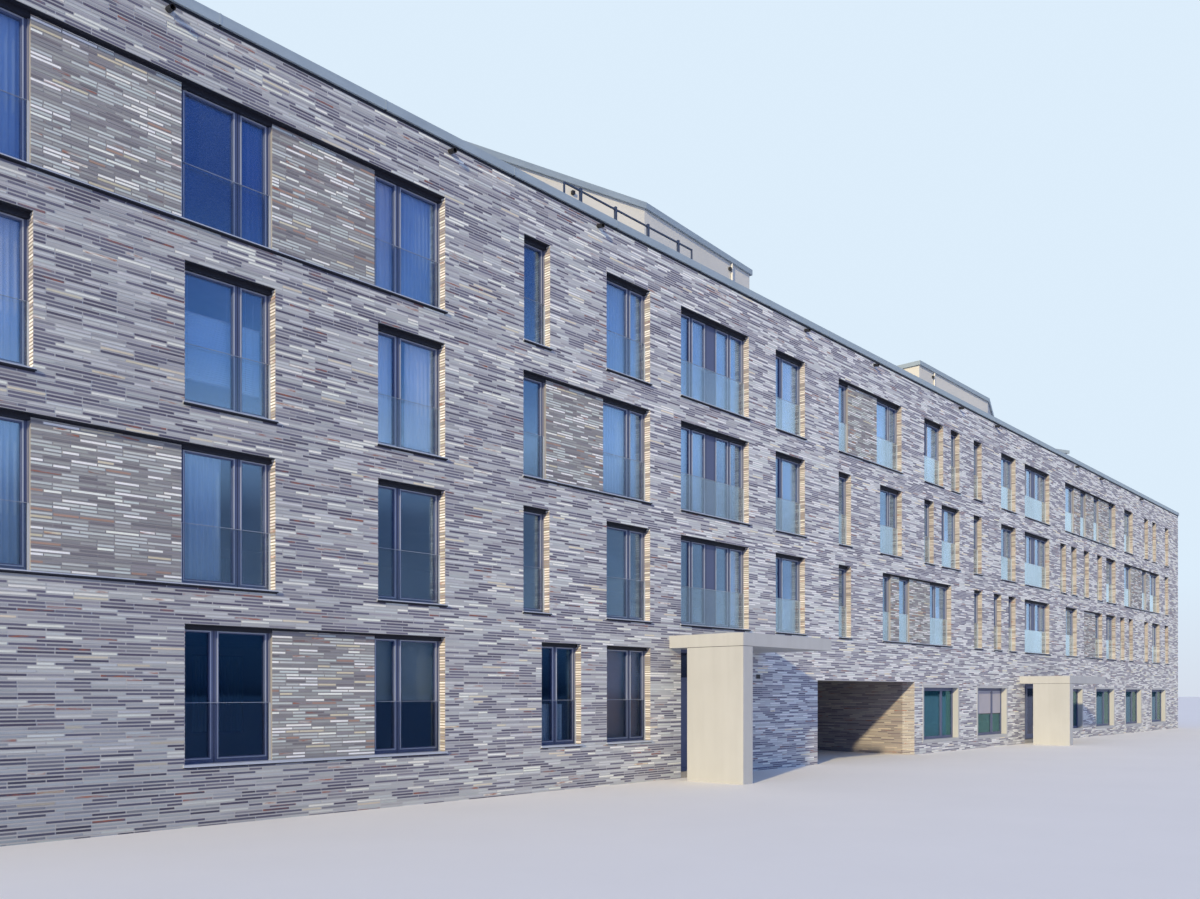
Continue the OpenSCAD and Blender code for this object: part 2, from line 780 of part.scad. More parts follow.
// Ring on top of the walls: out is its overhang, in its reach behind the wall's outer face
module wall_ring(out, in, z0, h) {
    translate([0, 0, z0]) difference() {
        translate([-out, -out, 0]) cube([block_l + 2 * out, block_d + 2 * out, h]);
        translate([in, in, -eps]) cube([block_l - 2 * in, block_d - 2 * in, h + 2 * eps]);
    }
}
module roof_coping() {
    color("lightsteelblue") on_front() {
        wall_ring(-shadow_in, wall_t - shadow_in / 2, wall_top, shadow_h + eps);
        wall_ring(coping_out, wall_t + coping_out, coping_z, coping_h);
    }
}
// Short tubes that start in the wall's face and slope down
module overflow_spouts() {
    root_l = 2 * spout_r;
    tube_l = root_l + spout_l;
    color("dimgray") on_front()
        for (x = spout_x) {
            translate([x, 0, wall_top - spout_drop]) difference() {
                rotate([90 + spout_slope, 0, 0]) translate([0, 0, -root_l]) difference() {
                    cylinder(r = spout_r, h = tube_l);
                    translate([0, 0, -eps]) cylinder(r = spout_r - spout_t, h = tube_l + 2 * eps);
                }
                block([-2 * spout_r, 0, -4 * spout_r], [2 * spout_r, 4 * spout_r, 4 * spout_r]);
            }
        }
}

// Front lines of the penthouses from left to right, measured from their left ends and the street front
penthouse_fronts = [
    [[0, setback_1 + left_back_1], [bend_1, setback_1], [penthouse_1_l, setback_1 + right_back_1]],
    [[0, setback_2], [bend_2, setback_2], [penthouse_2_l, setback_2 + right_back_2]],
    [[0, setback_3 + left_back_3], [penthouse_3_l, setback_3]]];
penthouse_x = [penthouse_1_x, penthouse_2_x, penthouse_3_x];
penthouse_l = [penthouse_1_l, penthouse_2_l, penthouse_3_l];
penthouse_back = block_d - penthouse_rear;

// Corners of a convex plan moved inwards by t, or outwards where t is negative
function direction(a, b) = (b - a) / norm(b - a);
function inward(u) = [-u.y, u.x];
function moved_in(points, t) = let (n = len(points)) [for (i = [0:n - 1])
    let (a = inward(direction(points[(i + n - 1) % n], points[i])),
         b = inward(direction(points[i], points[(i + 1) % n])))
    points[i] + t * (a + b) / (1 + a * b)];
function penthouse_corners(i) =
    concat(penthouse_fronts[i], [[penthouse_l[i], penthouse_back], [0, penthouse_back]]);
module penthouse_plan(i, t) { polygon(moved_in(penthouse_corners(i), t)); }
// Slope of a penthouse's front at x, and the place of a piece whose middle stands off it by d
function front_slope(i, x) = lookup(x + eps, penthouse_fronts[i]) - lookup(x, penthouse_fronts[i]);
function front_y(i, x, d) =
    lookup(x, penthouse_fronts[i]) - d * sqrt(1 + pow(front_slope(i, x) / eps, 2));
module at_penthouse(i) { translate([penthouse_x[i], 0, roof_z]) children(); }

// Distances from the rear windows' left sides to their penthouse's left end
penthouse_window_z = 60;
function penthouse_windows_x(i) = let (n = floor(penthouse_l[i] / penthouse_window_pitch))
    [for (k = [1:n]) penthouse_l[i] * k / (n + 1) - double_w / 2];

module penthouse_walls() {
    color("beige") on_front()
        for (i = [0:2]) {
            at_penthouse(i) difference() {
                linear_extrude(penthouse_h) difference() {
                    penthouse_plan(i, 0);
                    penthouse_plan(i, penthouse_wall_t);
                }
                for (x = penthouse_windows_x(i)) {
                    block([x, penthouse_back - penthouse_wall_t - eps, penthouse_window_z],
                          [x + double_w, penthouse_back + eps, penthouse_window_z + window_h]);
                }
            }
        }
}
module penthouse_roofs() {
    color("silver") on_front()
        for (i = [0:2]) {
            at_penthouse(i) translate([0, 0, penthouse_h])
                linear_extrude(penthouse_roof_t) penthouse_plan(i, -penthouse_roof_out);
        }
}

// Rear windows of the penthouses, drawn as seen from the rear
module at_penthouse_windows() {
    for (i = [0:2], x = penthouse_windows_x(i)) {
        at_penthouse(i) translate([x + double_w, penthouse_back, penthouse_window_z])
            rotate([0, 0, 180]) children();
    }
}

// One downpipe and one lamp on each penthouse front, measured from its left end. The third front
// shows no lamp.
pipe_x = [5215, 695, 2465];
lamp_x = [5130, 605];
bent_lamp_x = 1725;
module downpipes() {
    color("white") on_front()
        for (i = [0:2]) {
            at_penthouse(i) translate([pipe_x[i], front_y(i, pipe_x[i], pipe_r), 0])
                cylinder(r = pipe_r, h = penthouse_h);
        }
}
module lamp(i, x) {
    at_penthouse(i) translate([x, lookup(x, penthouse_fronts[i]), penthouse_h - lamp_drop - lamp_l])
        rotate([0, 0, atan(front_slope(i, x) / eps)]) block([0, -lamp_d, 0], [lamp_l, 0, lamp_l]);
}
// Lamps on the penthouses and the small plate right of the first entrance
module wall_fittings() {
    plate_x = 1690;
    plate_z = 1275;
    plate_l = 92;
    plate_h = 60;
    plate_t = 6;
    color("midnightblue") on_front() {
        lamp(0, bent_lamp_x);
        lamp(0, lamp_x[0]);
        lamp(1, lamp_x[1]);
        translate([entrance_1_x + plate_x, -plate_t, plate_z]) cube([plate_l, plate_t, plate_h]);
    }
}

module terrace_railing() {
    last_x = railing_x + (railing_posts - 1) * railing_pitch;
    left_x = railing_x - railing_end;
    right_x = last_x + railing_end;
    top_z = roof_z + railing_h;
    color("dimgray") on_front() {
        for (i = [0:railing_posts - 1]) {
            x = railing_x + i * railing_pitch;
            block([x - rail_post_w / 2, railing_y, roof_z],
                  [x + rail_post_w / 2, railing_y + rail_post_w, top_z + post_rise]);
        }
        block([left_x, railing_y, top_z - railing_bar], [right_x, railing_y + railing_bar, top_z]);
        for (x = [left_x, right_x - railing_bar]) {
            block([x, railing_y, roof_z], [x + railing_bar, railing_y + railing_bar, top_z]);
        }
    }
}

ground_slabs();
front_wall_1_left();
front_wall_1_middle();
front_wall_1_shops();
front_wall_1_right();
lintels();
front_wall(2);  // front_wall_2
front_wall(3);  // front_wall_3
front_wall(4);  // front_wall_4
rear_wall_1();
rear_wall_upper();
left_wall();
right_wall();
passage_walls();
passage_ceiling();
floor_slabs();
roof_slab();
recessed_panels();
window_frames_front();
window_frames_rear();
window_frames_ends();
window_glass_front();
window_glass_rear();
window_glass_ends();
metal_sills();
guard_glass();
guard_holders();
shop_surrounds();
shop_windows();
shop_glass();
canopies();
fin_walls();
entrance_frames();
entrance_glass();
door_leaf(0);  // door_leaf_1
door_glass(0);  // door_glass_1
door_leaf(1);  // door_leaf_2
door_glass(1);  // door_glass_2
roof_coping();
overflow_spouts();
penthouse_walls();
penthouse_roofs();
downpipes();
wall_fittings();
terrace_railing();
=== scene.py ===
"""Looks of the four-storey brick apartment block: brickwork, metal, glass, curtains, light and camera.

Sizes are millimetres of the half-size model, as in the part's source, unless a name says otherwise.
"""

import math

import bpy
import numpy as np
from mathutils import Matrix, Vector


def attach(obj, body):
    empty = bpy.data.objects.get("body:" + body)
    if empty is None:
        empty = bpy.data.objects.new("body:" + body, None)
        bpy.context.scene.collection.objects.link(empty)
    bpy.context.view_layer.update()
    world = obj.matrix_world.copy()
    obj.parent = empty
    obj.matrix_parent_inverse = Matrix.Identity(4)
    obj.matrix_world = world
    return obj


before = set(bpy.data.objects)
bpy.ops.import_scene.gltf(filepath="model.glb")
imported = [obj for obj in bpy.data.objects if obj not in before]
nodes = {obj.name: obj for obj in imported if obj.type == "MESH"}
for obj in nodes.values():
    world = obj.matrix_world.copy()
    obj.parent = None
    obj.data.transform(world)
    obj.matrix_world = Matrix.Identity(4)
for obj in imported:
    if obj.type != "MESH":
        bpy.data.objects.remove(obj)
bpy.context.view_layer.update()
rng = np.random.default_rng(11)
MM = 0.001

# Sizes that repeat the part's source
BLOCK_L, BLOCK_D = 34000, 6500
WALL_T = 225
STOREY_H = 1450
FIRST_SILL_Z = 480
WINDOW_H = 1150
SILL_T, SILL_OUT, SILL_SIDE = 20, 25, 15
FRAME_RECESS, FRAME_T, FRAME_W, FRAME_TOP_H = 100, 40, 50, 60
POST_W, SMALL_LIGHT_W = 85, 200
NARROW_W, MIDDLE_W, DOUBLE_W, WIDE_W, PAIR_PANEL_W = 390, 620, 790, 1510, 180
GUARD_Y, GUARD_T, GUARD_H, HOLDER_W = 81, 10, 495, 14
PANEL_RECESS = 55
BASE_Z, WALL_TOP = 1760, 6515
COPING_Z, COPING_H, COPING_OUT = 6529, 88, 28
PASSAGE_X, PASSAGE_END, PASSAGE_H = 12660, 15925, 1270
# Entrances: left edge and height. Canopies: left edge, depth in front of the wall and underside
ENTRANCES = ((9330, 1635), (21170, 1275))
CANOPIES = ((9100, 1110, 1635), (20875, 1010, 1275))
FIN_T, FIN_GAP = 195, 280
SHOP_X = (16240, 18630, 23440, 25960, 28460, 31000)
SHOP_W, SHOP_SILL_Z, SHOP_HEAD_Z, SURROUND_W, SHOP_LIGHT_W = 1560, 190, 1225, 50, 420
REAR_WINDOWS, REAR_MARGIN, END_MARGIN = 14, 1200, 1300
PASSAGE_CLEAR = 150
TOP_STOREY = 4

# Openings of each storey of the front, from the left corner: n one sash, m middle, l and r two sashes
# with the small one at the left or right, d two pairs of sashes, and a number is a brick panel's width
FRONT = {
    1: [(2950, ["l", 1040, "l"]), (6890, ["m"]), (7940, ["r"])],
    2: [(1060, ["l", 1100, "r"]), (4780, ["l"]), (6620, ["n"]), (7935, ["r"]), (9330, ["d"]),
        (11510, ["l"]), (13290, ["n"]), (14745, ["n", 315, "n", 820, "l"]), (18500, ["n"]),
        (19480, ["n"]), (20260, ["n"]), (21170, ["d"]), (23760, ["l"]), (25085, [1025, "n"]),
        (26830, ["r"]), (28020, ["n"]), (28800, ["n"]), (30290, ["n"]), (31110, ["r"]),
        (32480, ["n"])],
    3: [(1060, ["l"]), (2950, ["r"]), (4780, ["l"]), (6620, ["n", 925, "r"]), (9330, ["d"]),
        (11510, ["l"]), (13290, ["n"]), (14650, ["r"]), (16310, ["n"]), (17030, ["l"]),
        (18480, ["n"]), (19860, ["r"]), (21170, ["d"]), (23395, ["n"]), (24140, ["n"]),
        (25060, ["n"]), (26090, ["n"]), (26830, ["l"]), (28385, ["l", 1110, "n", 405, "r"]),
        (32480, ["n"])],
    4: [(1060, ["l", 1100, "r", 1040, "l"]), (6630, ["n"]), (7935, ["r"]), (9330, ["d"]),
        (11510, ["l"]), (13290, ["n", 960, "r"]), (16310, ["l"]), (17430, ["n"]), (18480, ["n"]),
        (19860, ["r"]), (21170, ["d"]), (23720, ["l", 475, "n", 615, "n", 840, "n"]),
        (28385, ["l"]), (30290, ["n"]), (31120, ["n"]), (32480, ["n"])],
}
WIDTHS = {"n": NARROW_W, "m": MIDDLE_W, "l": DOUBLE_W, "r": DOUBLE_W, "d": WIDE_W}

rear_pitch = (BLOCK_L - 2 * REAR_MARGIN - DOUBLE_W) / (REAR_WINDOWS - 1)
rear_row = [(REAR_MARGIN + i * rear_pitch, ["l"]) for i in range(REAR_WINDOWS)]
rear_row_1 = [group for group in rear_row
              if group[0] + DOUBLE_W < BLOCK_L - PASSAGE_END - PASSAGE_CLEAR
              or group[0] > BLOCK_L - PASSAGE_X + PASSAGE_CLEAR]
REAR = {1: rear_row_1, 2: rear_row, 3: rear_row, 4: rear_row}
end_row = [(END_MARGIN, ["l"]), (BLOCK_D - END_MARGIN - DOUBLE_W, ["r"])]
ENDS = {storey: end_row for storey in range(1, TOP_STOREY + 1)}
GROUPS = {"front": FRONT, "rear": REAR, "left": ENDS, "right": ENDS}

# Places of the walls: the turn in quarters and the point where a wall starts, seen from outside,
# with x along the wall, y into it and z up
SIDES = {
    "front": (0, -BLOCK_L / 2, -BLOCK_D / 2),
    "right": (1, BLOCK_L / 2, -BLOCK_D / 2),
    "rear": (2, BLOCK_L / 2, BLOCK_D / 2),
    "left": (3, -BLOCK_L / 2, BLOCK_D / 2),
    "passage_left": (1, PASSAGE_X - BLOCK_L / 2, -BLOCK_D / 2),
    "passage_right": (3, PASSAGE_END - BLOCK_L / 2, BLOCK_D / 2),
}
# Cosine and sine of each number of quarter turns
TURNS = ((1, 0), (0, 1), (-1, 0), (0, -1))


def placed(points, side):
    """Points of a wall's own directions, in metres of the row frame."""
    turn, x0, y0 = SIDES[side]
    cosine, sine = TURNS[turn]
    x, y, z = points[..., 0], points[..., 1], points[..., 2]
    return np.stack([x0 + cosine * x - sine * y, y0 + sine * x + cosine * y, z], -1) * MM


def open_z(storey):
    """Height of the lower edge of a storey's window openings."""
    return FIRST_SILL_Z + (storey - 1) * STOREY_H


def group_pieces(group):
    """(kind or panel width, left edge, right edge) of each piece of a group."""
    x, found = group[0], []
    for kind in group[1]:
        width = WIDTHS.get(kind, kind)
        found.append((kind, x, x + width))
        x += width
    return found


def windows(side):
    """(storey, kind, left, right, lower, upper edge) of each window opening above its sill."""
    return [(storey, kind, x0, x1, open_z(storey) + SILL_T, open_z(storey) + WINDOW_H)
            for storey, groups in GROUPS[side].items()
            for group in groups
            for kind, x0, x1 in group_pieces(group) if isinstance(kind, str)]


def panes(kind, x0, x1):
    """(left, right) of each pane of a window."""
    if kind == "d":
        pair = (WIDE_W - PAIR_PANEL_W) / 2
        light = (pair - 2 * FRAME_W - POST_W) / 2
        starts = [x0 + FRAME_W + half + inner
                  for half in (0, WIDE_W - pair) for inner in (0, light + POST_W)]
        return [(start, start + light) for start in starts]
    if kind == "n":
        return [(x0 + FRAME_W, x1 - FRAME_W)]
    if kind == "r":
        cut = x1 - FRAME_W - SMALL_LIGHT_W
        return [(x0 + FRAME_W, cut - POST_W), (cut, x1 - FRAME_W)]
    cut = x0 + FRAME_W + SMALL_LIGHT_W
    return [(x0 + FRAME_W, cut), (cut + POST_W, x1 - FRAME_W)]


# Materials

# The panes of the ground storey are darker, and darkest at their foot: a painted reflection
GROUND_TOP_M, FOOT_TOP_M = BASE_Z * MM, 1.08
GROUND_FADE_M, FOOT_FADE_M = 0.05, 0.08
# Part of a noise's values that a look uses
NOISE_LOW, NOISE_HIGH = 0.3, 0.7
# Facing value up to which a pane counts as seen face on
FACE_ON = 0.35
SOCKETS = {"roughness": "Roughness", "metallic": "Metallic", "alpha": "Alpha",
           "specular": "Specular IOR Level", "sheen": "Sheen Weight"}


def srgb(r, g, b):
    """A colour written in the 0 to 255 numbers of a screen, as linear light."""
    return tuple(((level / 255 + 0.055) / 1.055) ** 2.4 if level > 10 else level / 255 / 12.92
                 for level in (r, g, b)) + (1.0,)


class Nodes:
    """Nodes of one material around its Principled shader."""

    def __init__(self, name, **shader):
        self.material = bpy.data.materials.new(name)
        self.material.use_nodes = True
        self.tree = self.material.node_tree
        self.shader = next(node for node in self.tree.nodes if node.type == "BSDF_PRINCIPLED")
        for socket, value in shader.items():
            self.shader.inputs[SOCKETS[socket]].default_value = value

    def put(self, socket, source):
        """Gives an input its value, or a link from another node."""
        if isinstance(source, bpy.types.NodeSocket):
            self.tree.links.new(source, socket)
        else:
            socket.default_value = source

    def add(self, kind, inputs=(), **settings):
        """A new node with what its inputs get and its settings."""
        made = self.tree.nodes.new("ShaderNode" + kind)
        for key, value in settings.items():
            setattr(made, key, value)
        for key, source in dict(inputs).items():
            self.put(made.inputs[key], source)
        return made

    def place(self, axis=None):
        """Place in metres of the row frame, or its part along one axis."""
        found = self.add("TexCoord").outputs["Object"]
        if axis:
            found = self.add("SeparateXYZ", {"Vector": found}).outputs[axis]
        return found

    def noise(self, scale, stretch=(1, 1, 1), detail=4.0, rough=0.6):
        """Noise in metres of the row frame, stretched by direction."""
        mapped = self.add("Mapping", {"Vector": self.place(), "Scale": stretch})
        made = self.add("TexNoise", {"Vector": mapped.outputs[0], "Scale": scale,
                                     "Detail": detail, "Roughness": rough})
        return made.outputs["Fac"]

    def ranged(self, value, from_min, from_max, to_min=0.0, to_max=1.0):
        """A value of one range turned into one of another, and held at its ends."""
        made = self.add("MapRange", {"Value": value, "From Min": from_min, "From Max": from_max,
                                     "To Min": to_min, "To Max": to_max})
        return made.outputs[0]

    def spread(self, value, low, high):
        """A value of a noise turned into one from low to high."""
        return self.ranged(value, NOISE_LOW, NOISE_HIGH, low, high)

    def mixed(self, a, b, share, **settings):
        """Colour a where share is 0 and b where it is 1."""
        made = self.add("Mix", data_type="RGBA", **settings)
        for place, source in (("Factor_Float", share), ("A_Color", a), ("B_Color", b)):
            self.put(next(socket for socket in made.inputs if socket.identifier == place), source)
        return next(socket for socket in made.outputs if socket.identifier == "Result_Color")

    def shaded(self, colour, value):
        """Colour times value."""
        return self.mixed(colour, value, 1.0, blend_type="MULTIPLY")

    def to(self, socket, value):
        """Links a value to an input of the shader."""
        self.tree.links.new(value, self.shader.inputs[socket])

    def bump(self, value, strength, metres):
        """Raises the surface where a value is high."""
        made = self.add("Bump", {"Height": value, "Strength": strength, "Distance": metres})
        self.to("Normal", made.outputs["Normal"])


def brick_material():
    """Fired brick: each brick has its own tint, with streaks along it and a rough skin."""
    look = Nodes("brick", roughness=0.85, specular=0.3)
    attribute = look.add("Attribute", attribute_name="tint")
    tint, rusty = attribute.outputs["Color"], attribute.outputs["Alpha"]
    streaks = look.noise(9.0, (1, 1, 9), detail=5.0, rough=0.65)
    grain = look.noise(160.0, (1, 1, 1.5), detail=3.0, rough=0.7)
    colour = look.shaded(tint, look.spread(streaks, 0.94, 1.06))
    patches = look.noise(9.0, (1, 1, 7.0), detail=3.0)
    rust = look.ranged(patches, 0.45, 0.65, 0.0, 0.9)
    rust = look.add("Math", {0: rust, 1: rusty}, operation="MULTIPLY").outputs[0]
    colour = look.mixed(colour, srgb(156, 96, 76), rust)
    look.to("Base Color", look.shaded(colour, look.spread(grain, 0.92, 1.08)))
    look.to("Roughness", look.spread(grain, 0.75, 0.95))
    look.bump(grain, 0.3, 0.0015)
    return look.material


def mortar_material(name, light, dark, along=None):
    """Sanded joints. along has two places in metres along the block, and the tone at each, which
    paints light along the wall.
    """
    look = Nodes(name, roughness=0.95)
    sand = look.noise(220.0, detail=2.0)
    patches = look.noise(1.5)
    colour = look.mixed(light, dark, look.spread(patches, 0.0, 1.0))
    if along:
        # Painted light: the mortar paler along the block
        colour = look.shaded(colour, look.ranged(look.place("X"), *along))
    look.to("Base Color", look.shaded(colour, look.spread(sand, 0.88, 1.08)))
    look.to("Roughness", look.spread(sand, 0.88, 1.0))
    look.bump(sand, 0.4, 0.001)
    return look.material


def concrete_material(name, light, dark, stain=0.9):
    """Fair-faced concrete with clouds, pores and faint runs of water. stain is the runs' tone."""
    look = Nodes(name, roughness=0.8)
    clouds = look.noise(1.1, detail=6.0)
    runs = look.noise(2.4, (3, 3, 0.25))
    pores = look.noise(120.0, detail=3.0)
    colour = look.mixed(light, dark, look.spread(clouds, 0.0, 1.0))
    colour = look.shaded(colour, look.spread(runs, stain, 1.03))
    look.to("Base Color", look.shaded(colour, look.spread(pores, 0.96, 1.02)))
    look.to("Roughness", look.spread(pores, 0.7, 0.88))
    look.bump(pores, 0.25, 0.001)
    return look.material


def render_material():
    """Scraped render of the penthouses."""
    look = Nodes("render", roughness=0.9)
    clouds = look.noise(0.8, detail=5.0)
    grit = look.noise(260.0, detail=2.0)
    colour = look.mixed(srgb(226, 224, 218), srgb(217, 215, 209), look.spread(clouds, 0.0, 1.0))
    look.to("Base Color", look.shaded(colour, look.spread(grit, 0.95, 1.03)))
    look.to("Roughness", look.spread(grit, 0.85, 0.98))
    look.bump(grit, 0.4, 0.001)
    return look.material


def metal_material(name, colour, metallic, low, high, stretch=(1, 1, 1), variation=0.06):
    """Coated or folded sheet metal with a fine grain and soft clouds, rough from low to high."""
    look = Nodes(name, metallic=metallic, roughness=low)
    clouds = look.noise(2.2, stretch, rough=0.55)
    grain = look.noise(300.0, stretch, detail=2.0)
    shade = look.shaded(colour, look.spread(clouds, 1 - variation, 1 + variation))
    look.to("Base Color", look.shaded(shade, look.spread(grain, 0.97, 1.03)))
    look.to("Roughness", look.spread(clouds, low, high))
    look.bump(grain, 0.08, 0.0005)
    return look.material


def glass_material(name, colour, alpha, metallic, slant_alpha=0.92, slant=0.95, waves=0.02, low=None):
    """Tinted pane that lets the room behind it through and mirrors the sky, most at a slant.

    It is as solid as alpha face on, and as slant_alpha where the facing value is slant or more.
    low has the colours of the ground storey's panes, at their foot and above it: a painted reflection,
    darker near the ground.
    """
    look = Nodes(name, roughness=0.03, metallic=metallic, alpha=alpha, specular=0.6)
    facing = look.add("LayerWeight", {"Blend": 0.5}).outputs["Facing"]
    look.to("Alpha", look.ranged(facing, FACE_ON, slant, alpha, slant_alpha))
    # Painted reflection: the ground storey's panes darker, darkest at their foot
    if low:
        z = look.place("Z")
        upper = look.ranged(z, GROUND_TOP_M - GROUND_FADE_M, GROUND_TOP_M + GROUND_FADE_M)
        above_foot = look.ranged(z, FOOT_TOP_M - FOOT_FADE_M, FOOT_TOP_M + FOOT_FADE_M)
        colour = look.mixed(look.mixed(*low, above_foot), colour, upper)
    clouds = look.noise(0.9, detail=2.0)
    look.to("Base Color", look.shaded(colour, look.spread(clouds, 0.88, 1.12)))
    look.bump(look.noise(1.6, detail=1.0), waves, 0.02)
    return look.material


def cloth_material(name, colour):
    """Woven cloth with its threads and soft shade from fold to fold."""
    look = Nodes(name, roughness=0.9, sheen=0.2)
    threads = look.add("TexWave", {"Vector": look.place(), "Scale": 380.0, "Distortion": 1.5},
                       bands_direction="Z").outputs["Fac"]
    clouds = look.noise(3.0)
    look.to("Base Color", look.shaded(colour, look.spread(clouds, 0.93, 1.05)))
    look.bump(threads, 0.15, 0.0005)
    return look.material


def roof_material():
    """Gravel on the flat roof."""
    look = Nodes("roof_gravel", roughness=0.95)
    stones = look.add("TexVoronoi", {"Vector": look.place(), "Scale": 70.0})
    pick = look.add("SeparateColor", {"Color": stones.outputs["Color"]}).outputs["Red"]
    patches = look.noise(0.7)
    colour = look.mixed(srgb(176, 172, 164), srgb(112, 110, 108), pick)
    look.to("Base Color", look.shaded(colour, look.spread(patches, 0.88, 1.08)))
    look.bump(stones.outputs["Distance"], 0.6, 0.006)
    return look.material


# Two places along the block in metres, between which the mortar grows paler as painted light, and its
# tones there
MORTAR_ALONG = (-14.0, -4.5, 0.91, 1.18)
brick = brick_material()
mortar = mortar_material("mortar", srgb(193, 195, 198), srgb(179, 180, 185), MORTAR_ALONG)
end_mortar = mortar_material("end_mortar", srgb(156, 159, 169), srgb(145, 147, 158))
panel_mortar = mortar_material("panel_mortar", srgb(155, 154, 156), srgb(142, 140, 144))
reveal_mortar = mortar_material("reveal_mortar", srgb(161, 151, 142), srgb(148, 140, 133))
concrete = concrete_material("pale_concrete", srgb(189, 191, 194), srgb(181, 183, 186), stain=0.96)
slab_concrete = concrete_material("slab_concrete", srgb(172, 169, 161), srgb(153, 150, 146))
plaster = concrete_material("soffit_plaster", srgb(131, 127, 121), srgb(114, 111, 108))
render = render_material()
roof_gravel = roof_material()
frame_metal = metal_material("frame_metal", srgb(86, 96, 131), 0.1, 0.4, 0.55)
bead_metal = metal_material("bead_metal", srgb(168, 177, 196), 0.2, 0.3, 0.45)
guide_metal = metal_material("guide_metal", srgb(131, 135, 156), 0.1, 0.4, 0.55)
light_metal = metal_material("light_metal", srgb(181, 189, 205), 0.1, 0.35, 0.55)
coping_metal = metal_material("coping_metal", srgb(157, 172, 184), 0.1, 0.4, 0.6, (1, 1, 4), 0.09)
dark_metal = metal_material("dark_metal", srgb(47, 48, 54), 0.4, 0.4, 0.6)
# Dark metal of real linings, gaps and joints, also used for painted shade and shadows
lining_metal = metal_material("lining_metal", srgb(26, 29, 44), 0.1, 0.55, 0.7)
railing_metal = metal_material("railing_metal", srgb(62, 74, 100), 0.2, 0.4, 0.6)
white_metal = metal_material("white_metal", srgb(214, 214, 214), 0.1, 0.35, 0.5)
# The low colours of the front panes and of the guards are a painted reflection near the ground
window_glass = glass_material("window_glass", srgb(178, 211, 250), 0.25, 0.9,
                              low=(srgb(30, 66, 104), srgb(62, 108, 160)))
rear_glass = glass_material("rear_glass", srgb(120, 146, 182), 0.8, 0.9)
guard_glass = glass_material("guard_glass", srgb(216, 234, 246), 0.05, 0.9, 0.85, 0.8, waves=0.004,
                             low=(srgb(76, 92, 120), srgb(150, 168, 190)))
shop_glass = glass_material("shop_glass", srgb(46, 122, 138), 0.45, 0.8)
door_glass = glass_material("door_glass", srgb(56, 66, 96), 0.5, 0.8)
cloths = {
    "white": cloth_material("white_cloth", srgb(240, 244, 248)),
    "pale_blue": cloth_material("pale_blue_cloth", srgb(190, 218, 240)),
    "blue": cloth_material("blue_cloth", srgb(58, 92, 158)),
    "purple": cloth_material("purple_cloth", srgb(104, 92, 122)),
    "green": cloth_material("green_cloth", srgb(176, 196, 196)),
    "mauve": cloth_material("mauve_cloth", srgb(190, 164, 164)),
    "grey": cloth_material("grey_cloth", srgb(150, 154, 158)),
    "violet": cloth_material("violet_cloth", srgb(160, 160, 176)),
    "teal": cloth_material("teal_cloth", srgb(60, 168, 140)),
}

NODE_LOOKS = {
    mortar: ["front_wall_1_left", "front_wall_1_middle", "front_wall_1_shops", "front_wall_1_right",
             "lintels", "front_wall_2", "front_wall_3", "front_wall_4", "rear_wall_1",
             "rear_wall_upper"],
    end_mortar: ["left_wall", "right_wall"],
    panel_mortar: ["recessed_panels", "passage_walls"],
    concrete: ["shop_surrounds", "canopies", "fin_walls"],
    slab_concrete: ["ground_slabs", "floor_slabs"],
    plaster: ["passage_ceiling"],
    roof_gravel: ["roof_slab"],
    frame_metal: ["window_frames_front", "window_frames_rear", "window_frames_ends", "shop_windows",
                  "entrance_frames", "door_leaf_1", "door_leaf_2"],
    window_glass: ["window_glass_front"],
    rear_glass: ["window_glass_rear", "window_glass_ends"],
    door_glass: ["entrance_glass", "door_glass_1", "door_glass_2"],
    guard_glass: ["guard_glass"],
    shop_glass: ["shop_glass"],
    light_metal: ["metal_sills", "guard_holders"],
    coping_metal: ["roof_coping", "penthouse_roofs"],
    dark_metal: ["overflow_spouts", "wall_fittings"],
    railing_metal: ["terrace_railing"],
    render: ["penthouse_walls"],
    white_metal: ["downpipes"],
}
for look, names in NODE_LOOKS.items():
    for name in names:
        obj = nodes[name]
        if not obj.material_slots:
            obj.data.materials.append(look)
        for place in obj.material_slots:
            place.material = look

# Boxes: each is a row of six numbers, its lowest and highest corner

FACES = {"front": (0, 1, 5, 4), "back": (2, 3, 7, 6), "left": (3, 0, 4, 7), "right": (1, 2, 6, 5),
         "bottom": (3, 2, 1, 0), "top": (4, 5, 6, 7)}
OUTER = ("front", "left", "right", "bottom", "top")
CORNERS = np.array([(0, 1, 2), (3, 1, 2), (3, 4, 2), (0, 4, 2),
                    (0, 1, 5), (3, 1, 5), (3, 4, 5), (0, 4, 5)])


def mesh_piece(name, points, faces, material, body="block", tints=None, smooth=False):
    """A piece from points in metres and faces of four corners each, riding on a body."""
    mesh = bpy.data.meshes.new(name)
    mesh.vertices.add(len(points))
    mesh.vertices.foreach_set("co", points.astype(np.float32).ravel())
    mesh.loops.add(faces.size)
    mesh.loops.foreach_set("vertex_index", faces.astype(np.int32).ravel())
    mesh.polygons.add(len(faces))
    mesh.polygons.foreach_set("loop_start", np.arange(0, faces.size, 4, dtype=np.int32))
    mesh.polygons.foreach_set("use_smooth", np.full(len(faces), smooth))
    mesh.update(calc_edges=True)
    if tints is not None:
        colours = mesh.color_attributes.new(name="tint", type="FLOAT_COLOR", domain="CORNER")
        colours.data.foreach_set("color", np.repeat(tints, 4, 0).astype(np.float32).ravel())
    mesh.materials.append(material)
    obj = bpy.data.objects.new(name, mesh)
    bpy.context.scene.collection.objects.link(obj)
    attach(obj, body)
    return obj


